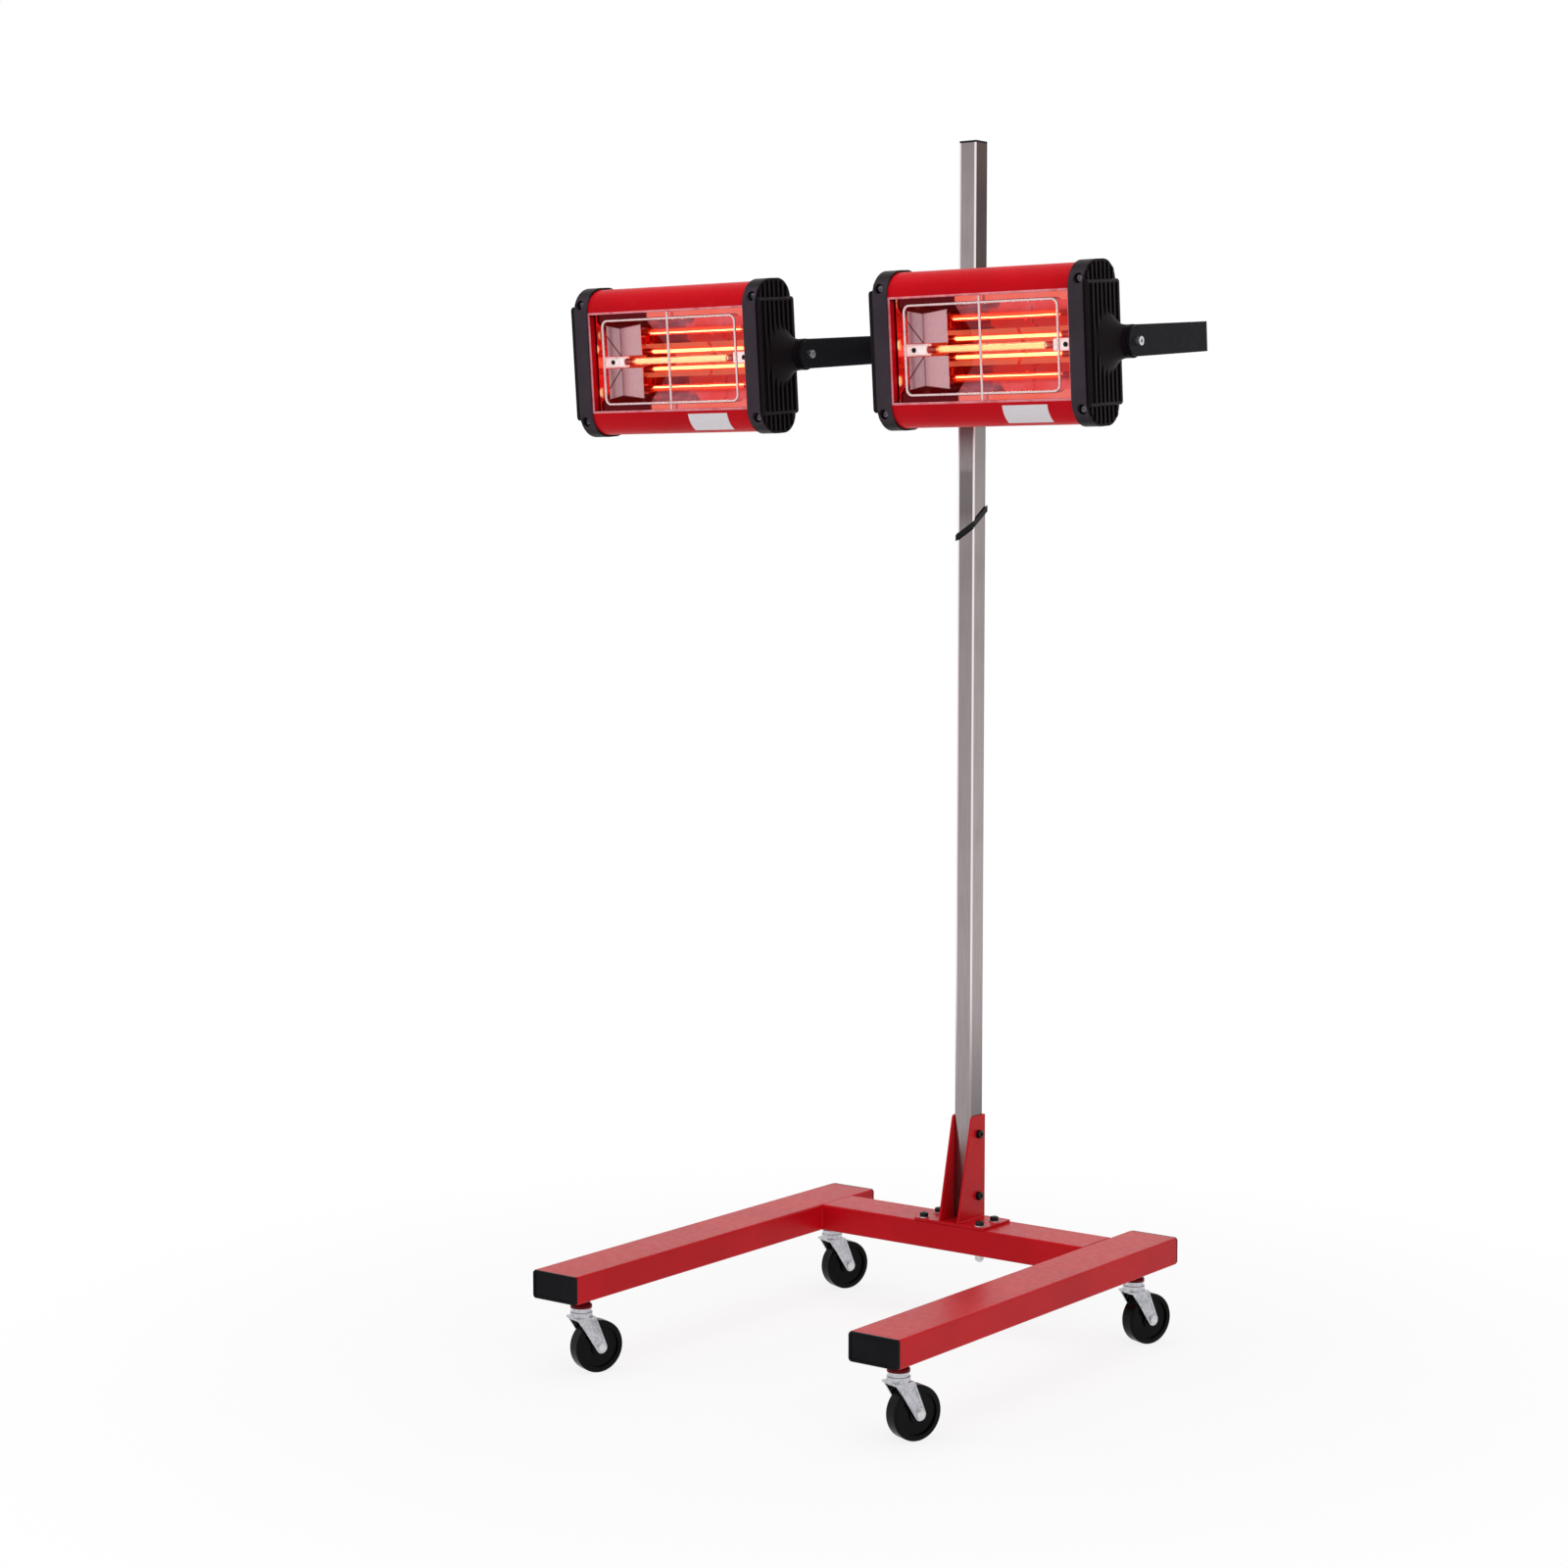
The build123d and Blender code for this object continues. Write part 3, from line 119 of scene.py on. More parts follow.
class Socket:
    """One value in a shader; arithmetic on it adds Math nodes."""

    def __init__(self, graph: "ShaderGraph", output: bpy.types.NodeSocket | None) -> None:
        """Keeps the graph and the node's output.

        Args:
            graph: The graph that holds the node.
            output: The output socket that this value stands for.
        """
        self.graph = graph
        self.output = output

    def _math(self, operation: str, *values: "Socket | float") -> "Socket":
        """Adds one Math node.

        Args:
            operation: Blender's name of the operation.
            values: Its operands, links or numbers.

        Returns:
            The node's value.
        """
        return self.graph.add("ShaderNodeMath", {"operation": operation}, dict(enumerate(values)))

    def __add__(self, other: "Socket | float") -> "Socket":
        """Sum of two values."""
        return self._math("ADD", self, other)

    def __radd__(self, other: float) -> "Socket":
        """Sum with a number on the left."""
        return self._math("ADD", other, self)

    def __sub__(self, other: "Socket | float") -> "Socket":
        """Difference of two values."""
        return self._math("SUBTRACT", self, other)

    def __rsub__(self, other: float) -> "Socket":
        """Difference with a number on the left."""
        return self._math("SUBTRACT", other, self)

    def __mul__(self, other: "Socket | float") -> "Socket":
        """Product of two values."""
        return self._math("MULTIPLY", self, other)

    def __rmul__(self, other: float) -> "Socket":
        """Product with a number on the left."""
        return self._math("MULTIPLY", other, self)

    def __abs__(self) -> "Socket":
        """Size of a value without its sign."""
        return self._math("ABSOLUTE", self)


class ShaderGraph:
    """The node tree of a material or of the world, built node by node."""

    octave_gain = 0.55
    fine_share = 0.6
    fine_detail = 2.0
    patch_edge = (0.1, 0.7)
    patch_pits: Spots = (900.0, 2.0)

    def __init__(self, owner: "bpy.types.Material | bpy.types.World") -> None:
        """Empties the tree.

        Args:
            owner: The new material or world.
        """
        owner.use_nodes = True
        self.owner = owner
        self.tree = owner.node_tree
        self.tree.nodes.clear()

    @classmethod
    def named(cls, name: str) -> "ShaderGraph":
        """Starts an empty material of this name."""
        return cls(bpy.data.materials.new(name))

    def add(
        self, kind: str, settings: dict | None = None, sockets: dict | None = None, output: int | str = 0
    ) -> Socket:
        """Adds one node.

        Args:
            kind: The node's type, as Blender names it.
            settings: Properties that are set first; "stops" holds a colour ramp's places and colours.
            sockets: Values or links, by socket name or number.
            output: The output that the returned value stands for.

        Returns:
            The chosen output, which is empty for a node that closes a tree.
        """
        node = self.tree.nodes.new(kind)
        for key, value in (settings or {}).items():
            if key == "stops":
                self._set_stops(node.color_ramp, value)
            else:
                setattr(node, key, value)
        for key, value in (sockets or {}).items():
            if isinstance(value, Socket):
                self.tree.links.new(value.output, node.inputs[key])
            else:
                node.inputs[key].default_value = value
        return Socket(self, node.outputs[output] if len(node.outputs) else None)

    @staticmethod
    def _set_stops(ramp: bpy.types.ColorRamp, stops: list) -> None:
        """Fills a colour ramp.

        Args:
            ramp: The ramp to fill.
            stops: Pairs of place and colour, in rising order.
        """
        while len(ramp.elements) < len(stops):
            ramp.elements.new(1.0)
        for element, (place, colour) in zip(ramp.elements, stops):
            element.position = place
            element.color = (*colour, 1.0)

    def place(self) -> Socket:
        """Place on the piece, in metres in the lamp's frame."""
        return self.add("ShaderNodeTexCoord", output="Object")

    def axis(self, index: int) -> Socket:
        """One coordinate of the place on the piece."""
        return self.add("ShaderNodeSeparateXYZ", sockets={0: self.place()}, output=index)

    def along(self, direction: Vector, origin: Vector) -> Socket:
        """Distance of the place from an origin, measured along a direction.

        Args:
            direction: A unit vector in the lamp's frame.
            origin: The place where the distance is 0.

        Returns:
            The distance in metres, signed.
        """
        sockets = {0: self.place(), 1: tuple(origin)}
        offset = self.add("ShaderNodeVectorMath", {"operation": "SUBTRACT"}, sockets)
        sockets = {0: offset, 1: tuple(direction)}
        return self.add("ShaderNodeVectorMath", {"operation": "DOT_PRODUCT"}, sockets, output=1)

    def drawn(self, grain: "Grain") -> Socket:
        """Place scaled along each axis, so that noise read there runs with a grain."""
        return self.add("ShaderNodeVectorMath", {"operation": "MULTIPLY"}, {0: self.place(), 1: grain.value})

    def noise(self, scale: float, detail: float, at: Socket | None = None) -> Socket:
        """Cloudy value around one half.

        Args:
            scale: Spots per metre.
            detail: Octaves of finer spots.
            at: Place to read it at, the plain place if left out.

        Returns:
            The value.
        """
        sockets = {"Vector": at or self.place(), "Scale": scale, "Detail": detail}
        sockets["Roughness"] = self.octave_gain
        return self.add("ShaderNodeTexNoise", sockets=sockets)

    def clouds(self, pattern: Clouds, at: Socket | None = None) -> Socket:
        """Noise drawn out to run from 0 to 1.

        Args:
            pattern: Its size and range.
            at: Place to read it at, the plain place if left out.

        Returns:
            The value.
        """
        return self.span(self.noise(pattern.scale, pattern.detail, at), pattern.low, pattern.high)

    def cells(self, scale: float) -> Socket:
        """Distance from the middle of the nearest of so many cells per metre."""
        return self.add("ShaderNodeTexVoronoi", sockets={"Vector": self.place(), "Scale": scale})

    def span(
        self, value: Socket, low: float, high: float, to_low: float = 0.0, to_high: float = 1.0
    ) -> Socket:
        """Maps a value smoothly from one range to another.

        Args:
            value: The value.
            low: Its lower end.
            high: Its upper end.
            to_low: Result at the lower end.
            to_high: Result at the upper end.

        Returns:
            The mapped value.
        """
        sockets = {"Value": value, "From Min": low, "From Max": high, "To Min": to_low, "To Max": to_high}
        return self.add("ShaderNodeMapRange", {"interpolation_type": "SMOOTHSTEP"}, sockets)

    def above(self, value: Socket, level: float, soft: float) -> Socket:
        """Mask that is 0 up to a level and rises to 1 over a soft edge."""
        return self.span(value, level, level + soft)

    def below(self, value: Socket, level: float, soft: float) -> Socket:
        """Mask that is 1 up to a level and falls to 0 over a soft edge."""
        return self.span(value, level, level + soft, 1.0, 0.0)

    def blend(self, factor: Socket, first: Socket | Colour, second: Socket | Colour) -> Socket:
        """Mixes two colours.

        Args:
            factor: Share of the second.
            first: Colour at 0.
            second: Colour at 1.

        Returns:
            The mixed colour.
        """
        sockets = {0: factor}
        for key, colour in ((6, first), (7, second)):
            sockets[key] = colour if isinstance(colour, Socket) else (*colour, 1.0)
        return self.add("ShaderNodeMix", {"data_type": "RGBA"}, sockets, output=2)

    def bump(self, height: Socket, relief: Relief) -> Socket:
        """Normal that a height from 0 to 1 bends into a relief."""
        sockets = {"Height": height, "Distance": relief.depth, "Strength": relief.strength}
        return self.add("ShaderNodeBump", sockets=sockets)

    def mould_grain(self, coarse: float, fine: float, relief: Relief) -> Socket:
        """Relief that a spark-eroded mould leaves.

        Args:
            coarse: Pits per metre.
            fine: Finer spots per metre.
            relief: Its depth and strength.

        Returns:
            The bent normal.
        """
        fine_spots = self.fine_share * self.noise(fine, self.fine_detail)
        return self.bump(self.cells(coarse) + fine_spots, relief)

    def patches(self, scale: float) -> Socket:
        """Crystal patches of a plating, so many per metre."""
        return self.span(self.cells(scale), *self.patch_edge)

    def plating(self, patches: Socket, relief: Relief) -> Socket:
        """Normal of a plating with these patches and fine pits."""
        return self.bump(patches + self.noise(*self.patch_pits), relief)

    def finish(self, sockets: dict) -> bpy.types.Material:
        """Closes a material with a Principled shader.

        Args:
            sockets: The shader's values and links by name.

        Returns:
            The finished material.
        """
        return self.close(self.add("ShaderNodeBsdfPrincipled", sockets=sockets))

    def close(self, surface: Socket, kind: str = "ShaderNodeOutputMaterial") -> bpy.types.ID:
        """Links a surface to the tree's output.

        Args:
            surface: The closing shader.
            kind: The output node's type.

        Returns:
            The material or world that owns the tree.
        """
        self.add(kind, sockets={"Surface": surface})
        return self.owner


class Grain(Enum):
    """Direction that a drawn or rolled grain runs in: how closely its noise repeats along X, Y and Z."""

    X = (6.0, 260.0, 260.0)
    Z = (260.0, 260.0, 5.0)


class Finish(Protocol):
    """What every finish has."""

    name: str

    def material(self) -> bpy.types.Material:
        """Builds the finish's material."""


@dataclass(frozen=True)
class Enamel:
    """Sprayed or powder coated paint with orange peel, faint clouds, dust and wiped spots."""

    name: str
    colour: Colour
    dusty: Colour
    roughness: float
    gloss: float
    peel: float = 420.0
    peel_detail: float = 1.5
    peel_relief: Relief = Relief(0.1 * MM, 0.6)
    fine_peel: float = 3.1
    fine_peel_detail: float = 1.0
    fine_peel_share: float = 0.35
    drift: Clouds = Clouds(7.0, 4.0, 0.35, 0.7)
    dust: Clouds = Clouds(38.0, 6.0, 0.58, 0.8)
    wiped: Clouds = Clouds(90.0, 2.0, 0.3, 0.7)
    drift_shade: float = 0.86
    dust_cover: float = 0.11
    dust_roughness: float = 0.02
    wiped_roughness: float = 0.07

    def material(self) -> bpy.types.Material:
        """Builds the paint.

        Returns:
            The material.
        """
        graph = ShaderGraph.named(self.name)
        return self.coat(graph, self.tint(graph))

    def tint(self, graph: ShaderGraph) -> Socket:
        """Clouds and dusts the paint's colour.

        Args:
            graph: The paint's nodes.

        Returns:
            The colour.
        """
        colour = graph.blend(graph.clouds(self.drift), self.colour, dimmed(self.colour, self.drift_shade))
        return graph.blend(self.dust_cover * graph.clouds(self.dust), colour, self.dusty)

    def coat(self, graph: ShaderGraph, colour: Socket) -> bpy.types.Material:
        """Closes the material with the paint's gloss and orange peel.

        Args:
            graph: The paint's nodes.
            colour: Its colour.

        Returns:
            The finished material.
        """
        dust = self.dust_roughness * graph.clouds(self.dust)
        fine_peel = graph.noise(self.fine_peel * self.peel, self.fine_peel_detail)
        peel = graph.noise(self.peel, self.peel_detail) + self.fine_peel_share * fine_peel
        return graph.finish({
            "Base Color": colour,
            "Roughness": self.roughness + dust + self.wiped_roughness * graph.clouds(self.wiped),
            "Specular IOR Level": self.gloss,
            "Normal": graph.bump(peel, self.peel_relief),
        })


@dataclass(frozen=True)
class Moulding:
    """Moulded plastic with spark-eroded grain, flow clouds and rubbed spots."""

    name: str
    colour: Colour
    rubbed: Colour
    roughness: float
    gloss: float = 0.25
    grain: float = 1500.0
    fine_grain: float = 0.7
    relief: Relief = Relief(0.08 * MM, 0.5)
    flow: Clouds = Clouds(16.0, 3.0, 0.4, 0.68)
    rub: Clouds = Clouds(120.0, 5.0, 0.6, 0.82)
    flow_share: float = 0.6
    rub_share: float = 0.25
    flow_roughness: float = 0.08
    rub_polish: float = 0.1

    def material(self) -> bpy.types.Material:
        """Builds the plastic.

        Returns:
            The material.
        """
        graph = ShaderGraph.named(self.name)
        flow = graph.clouds(self.flow)
        rub = graph.clouds(self.rub)
        worn = self.flow_share * flow + self.rub_share * rub
        return graph.finish({
            "Base Color": graph.blend(worn, self.colour, self.rubbed),
            "Roughness": self.roughness + self.flow_roughness * flow - self.rub_polish * rub,
            "Specular IOR Level": self.gloss,
            "Normal": graph.mould_grain(self.grain, self.fine_grain * self.grain, self.relief),
        })


@dataclass(frozen=True)
class HeadAxes:
    """A head's own axes, which its heat marks and its painted light and shade follow."""

    origin: Vector
    depth: Vector
    rise: Vector

    def across(self, graph: ShaderGraph) -> Socket:
        """Place along the lamp tube, from the head's middle."""
        return graph.along(ACROSS, self.origin)

    def back(self, graph: ShaderGraph) -> Socket:
        """Distance behind the window."""
        return graph.along(self.depth, self.origin)

    def height(self, graph: ShaderGraph) -> Socket:
        """Distance above or below the lamp tube."""
        return abs(graph.along(self.rise, self.origin))


@dataclass(frozen=True)
class ShellPaint:
    """Head enamel with a painted highlight along the window's bead, and painted shade inside its hem that is
    lighter on the right, where the reflector's painted haze glows.
    """

    paint: Enamel
    axes: HeadAxes
    window_half: float = 70 * MM
    window_reach: float = 141 * MM
    margin: float = 2 * MM
    bead: float = 2.2 * MM
    bead_edge: float = 0.6 * MM
    hem: float = 12 * MM
    hem_inset: float = 3 * MM
    edge: float = 0.4 * MM
    soft_edge: float = 1 * MM
    haze_from: float = -42 * MM
    haze_edge: float = 2 * MM
    hazed_share: float = 0.3
    bead_highlight_clouds: Clouds = Clouds(60.0, 4.0, 0.25, 0.6)
    least_bead_highlight: float = 0.45
    # The rubbed colour is a painted highlight along the window's bead.
    rubbed: Colour = (0.86, 0.3, 0.34)
    # Painted shade for the inner faces of the window's hem.
    hem_shade: Colour = (0.07, 0.006, 0.008)

    @property
    def name(self) -> str:
        """Name of the paint."""
        return self.paint.name

    def material(self) -> bpy.types.Material:
        """Builds the shell's paint.

        Returns:
            The material.
        """
        graph = ShaderGraph.named(self.name)
        across = self.axes.across(graph)
        back = self.axes.back(graph)
        height = self.axes.height(graph)
        inside = graph.below(height, self.window_half + self.margin, self.edge)
        inside = inside * graph.below(abs(across), self.window_reach + self.margin, self.edge)
        front = graph.below(back, self.bead - self.bead_edge, self.bead_edge)
        bead_highlight_clouds = self.least_bead_highlight + (1.0 - self.least_bead_highlight) * graph.clouds(self.bead_highlight_clouds)
        # Painted shade inside the hem; right of haze_from only hazed_share of it is kept, where the
        # reflector's painted haze glows.
        hem = graph.above(back, self.bead, self.edge) * graph.below(back, self.hem, self.soft_edge)
        hem = hem * graph.above(height, self.window_half - self.hem_inset, self.soft_edge)
        hem_shade_share = graph.span(across, self.haze_from, self.haze_from + self.haze_edge, 1.0, self.hazed_share)
        colour = graph.blend(hem * hem_shade_share * inside, self.paint.tint(graph), self.hem_shade)
        # The bead's rubbed colour is a painted highlight, broken up by clouds.
        return self.paint.coat(graph, graph.blend(front * inside * bead_highlight_clouds, colour, self.rubbed))


@dataclass(frozen=True)
class FadedCap:
    """Black end cap whose front band the lamp's heat has faded to a purple grey."""

    name: str
    axes: HeadAxes
    fade_from: float = 1 * MM
    fade_depth: float = 11 * MM
    band_reach: float = 164.5 * MM
    band_edge: float = 2 * MM
    grain: float = 1400.0
    fine_grain: float = 900.0
    relief: Relief = Relief(0.08 * MM, 0.5)
    flow: Clouds = Clouds(22.0, 4.0, 0.35, 0.7)
    rub: Clouds = Clouds(150.0, 5.0, 0.6, 0.82)
    least_fade: float = 0.75
    rub_share: float = 0.2
    roughness: float = 0.4
    flow_roughness: float = 0.12
    rub_polish: float = 0.08
    gloss: float = 0.09
    black: Colour = (0.006, 0.0035, 0.005)
    faded: Colour = (0.05, 0.036, 0.048)
    rubbed: Colour = (0.04, 0.034, 0.042)

    def material(self) -> bpy.types.Material:
        """Builds the plastic.

        Returns:
            The material.
        """
        graph = ShaderGraph.named(self.name)
        band = graph.below(self.axes.back(graph), self.fade_from, self.fade_depth)
        band = band * graph.below(abs(self.axes.across(graph)), self.band_reach, self.band_edge)
        flow = graph.clouds(self.flow)
        rub = graph.clouds(self.rub)
        fade = self.least_fade + (1.0 - self.least_fade) * flow
        colour = graph.blend(band * fade, self.black, self.faded)
        return graph.finish({
            "Base Color": graph.blend(self.rub_share * rub, colour, self.rubbed),
            "Roughness": self.roughness + self.flow_roughness * flow - self.rub_polish * rub,
            "Specular IOR Level": self.gloss,
            "Normal": graph.mould_grain(self.grain, self.fine_grain, self.relief),
        })


@dataclass(frozen=True)
class PostSteel:
    """Bright stainless tube with drawn grain and painted reflections: reddish by the heads, shade at the
    strap, highlit corners.

    The tones, painted light and shade, are pairs of a height, as a share of the tube, and how light the
    steel is there. Those at the strap count from the strap's own height.
    """

    name: str
    low: Vector
    high: Vector
    strap_height: float
    # The corner fields place a painted highlight on the tube's corners.
    corner: float = 3.6 * MM
    corner_depth: float = 1 * MM
    corner_full: float = 0.8
    depth_full: float = 0.6
    corner_heights: tuple = (0.1, 0.25)
    head_reflection_heights: tuple = (0.72, 0.8)
    face_edge: float = 0.2 * MM
    # Front, strap and side tones are painted light and shade; the dip at the strap is painted shade.
    front_below: tuple = ((0.1, 0.34), (0.25, 0.38), (0.42, 0.34))
    front_strap: tuple = ((-0.01, 0.29), (0.01, 0.16), (0.05, 0.2))
    front_above: tuple = ((0.7, 0.3), (0.84, 0.36), (0.93, 0.35), (1.0, 0.29))
    side_tones: tuple = ((0.1, 0.19), (0.2, 0.38), (0.3, 0.43), (0.42, 0.39), (0.7, 0.31))
    # Painted reddish reflection of the heads on the side faces.
    head_reflection_tones: tuple = ((0.8, 0.075), (0.95, 0.06), (1.0, 0.09))
    smear: Clouds = Clouds(9.0, 4.0, 0.42, 0.72)
    scratch: Clouds = Clouds(2.0, 2.0, 0.66, 0.72)
    scratch_share: float = 0.8
    grain: Spots = (4.0, 5.0)
    grimy_grain: tuple = (0.3, 0.7)
    rough_grain: tuple = (0.3, 0.75)
    relief: Relief = Relief(0.03 * MM, 0.5)
    grain_grime: float = 0.22
    smear_grime: float = 0.14
    roughness: float = 0.09
    grain_roughness: float = 0.1
    smear_roughness: float = 0.08
    reflection_tint: Colour = (1.0, 0.86, 0.87)
    head_reflection_tint: Colour = (1.0, 0.6, 0.58)
    grimy: Colour = (0.12, 0.1, 0.1)
    # The rubbed colour here is the painted corner highlight.
    rubbed: Colour = (0.86, 0.78, 0.81)

    def material(self) -> bpy.types.Material:
        """Builds the steel.

        Returns:
            The material.
        """
        graph = ShaderGraph.named(self.name)
        middle = (self.low + self.high) / 2
        half = (self.high.x - self.low.x) / 2
        across = abs(graph.axis(0) - middle.x)
        through = abs(graph.axis(1) - middle.y)
        length = self.high.z - self.low.z
        share = (graph.axis(2) - self.low.z) * (1.0 / length)
        strap = (self.strap_height - self.low.z) / length
        strapped = tuple((strap + rise, tone) for rise, tone in self.front_strap)
        front = self.tones(graph, share, self.front_below + strapped + self.front_above, self.reflection_tint)
        side = self.tones(graph, share, self.side_tones, self.reflection_tint)
        head_reflection = self.tones(graph, share, self.head_reflection_tones, self.head_reflection_tint)
        side = graph.blend(graph.span(share, *self.head_reflection_heights), side, head_reflection)
        # Painted highlight on the tube's corners.
        corner_highlight = graph.span(across, half - self.corner, half - self.corner_full * self.corner)
        full = half - self.depth_full * self.corner_depth
        corner_highlight = corner_highlight * graph.span(through, half - self.corner_depth, full)
        corner_highlight = corner_highlight * graph.span(share, *self.corner_heights)
        grain = graph.noise(*self.grain, graph.drawn(Grain.Z))
        smear = graph.clouds(self.smear)
        scratch = graph.clouds(self.scratch, graph.drawn(Grain.Z))
        # The side faces take their own painted tones, lit and shaded apart from the front.
        flank = graph.span(across, half - 2 * self.face_edge, half - self.face_edge)
        colour = graph.blend(flank, front, side)
        grime = self.grain_grime * graph.span(grain, *self.grimy_grain) + self.smear_grime * smear
        colour = graph.blend(grime, colour, self.grimy)
        roughness = self.roughness + self.grain_roughness * graph.span(grain, *self.rough_grain)
        return graph.finish({
            "Base Color": graph.blend(corner_highlight, colour, self.rubbed),
            "Metallic": 1.0,
            "Roughness": roughness + self.smear_roughness * smear,
            "Normal": graph.bump(grain + self.scratch_share * scratch, self.relief),
        })

    @staticmethod
    def tones(graph: ShaderGraph, share: Socket, tones: tuple, tint: Colour) -> Socket:
        """Painted light and shade of one pair of faces, by height.

        Args:
            graph: The material's nodes.
            share: Height between the tube's ends, from 0 to 1.
            tones: Pairs of such a height and how light the steel is there.
            tint: The colour that the light tones take.

        Returns:
            The colour.
        """
        stops = [(place, dimmed(tint, tone)) for place, tone in tones]
        return graph.add("ShaderNodeValToRGB", {"stops": stops}, {0: share})


@dataclass(frozen=True)
class BlackedBolts:
    """Zinc plated washers, shanks and nut below a level, and bolt heads of oxide black above it."""

    name: str
    level: float
    level_edge: float = 0.1 * MM
    patch: float = 240.0
    handled: Clouds = Clouds(60.0, 5.0, 0.5, 0.75)
    patch_share: float = 0.5
    roughness: float = 0.28
    patch_roughness: float = 0.08
    marks_roughness: float = 0.12
    gloss: float = 0.15
    relief: Relief = Relief(0.04 * MM, 0.5)
    zinc: Colour = (0.72, 0.71, 0.72)
    dull: Colour = (0.5, 0.49, 0.5)
    black: Colour = (0.007, 0.007, 0.009)
    rubbed: Colour = (0.03, 0.028, 0.03)

    def material(self) -> bpy.types.Material:
        """Builds the bolts' finish.

        Returns:
            The material.
        """
        graph = ShaderGraph.named(self.name)
        blacked = graph.span(graph.axis(2), self.level - self.level_edge, self.level + self.level_edge)
        patches = graph.patches(self.patch)
        marks = graph.clouds(self.handled)
        dulled = self.patch_share * patches + (1.0 - self.patch_share) * marks
        zinc = graph.blend(dulled, self.zinc, self.dull)
        roughness = self.roughness + self.patch_roughness * patches
        return graph.finish({
            "Base Color": graph.blend(blacked, zinc, graph.blend(marks, self.black, self.rubbed)),
            "Metallic": 1.0 - blacked,
            "Roughness": roughness + self.marks_roughness * marks,
            "Specular IOR Level": self.gloss,
            "Normal": graph.plating(patches, self.relief),
        })


@dataclass(frozen=True)
class Plated:
    """Plated metal: crystal patches and handling marks."""

    name: str
    colour: Colour
    dull: Colour
    roughness: float
    patch: float = 240.0
    handled: Clouds = Clouds(60.0, 5.0, 0.5, 0.75)
    patch_share: float = 0.5
    patch_roughness: float = 0.1
    marks_roughness: float = 0.16
    relief: Relief = Relief(0.05 * MM, 0.5)

    def material(self) -> bpy.types.Material:
        """Builds the plating.

        Returns:
            The material.
        """
        graph = ShaderGraph.named(self.name)
        patches = graph.patches(self.patch)
        marks = graph.clouds(self.handled)
        dulled = self.patch_share * patches + (1.0 - self.patch_share) * marks
        roughness = self.roughness + self.patch_roughness * patches
        return graph.finish({
            "Base Color": graph.blend(dulled, self.colour, self.dull),
            "Metallic": 1.0,
            "Roughness": roughness + self.marks_roughness * marks,
            "Normal": graph.plating(patches, self.relief),
        })


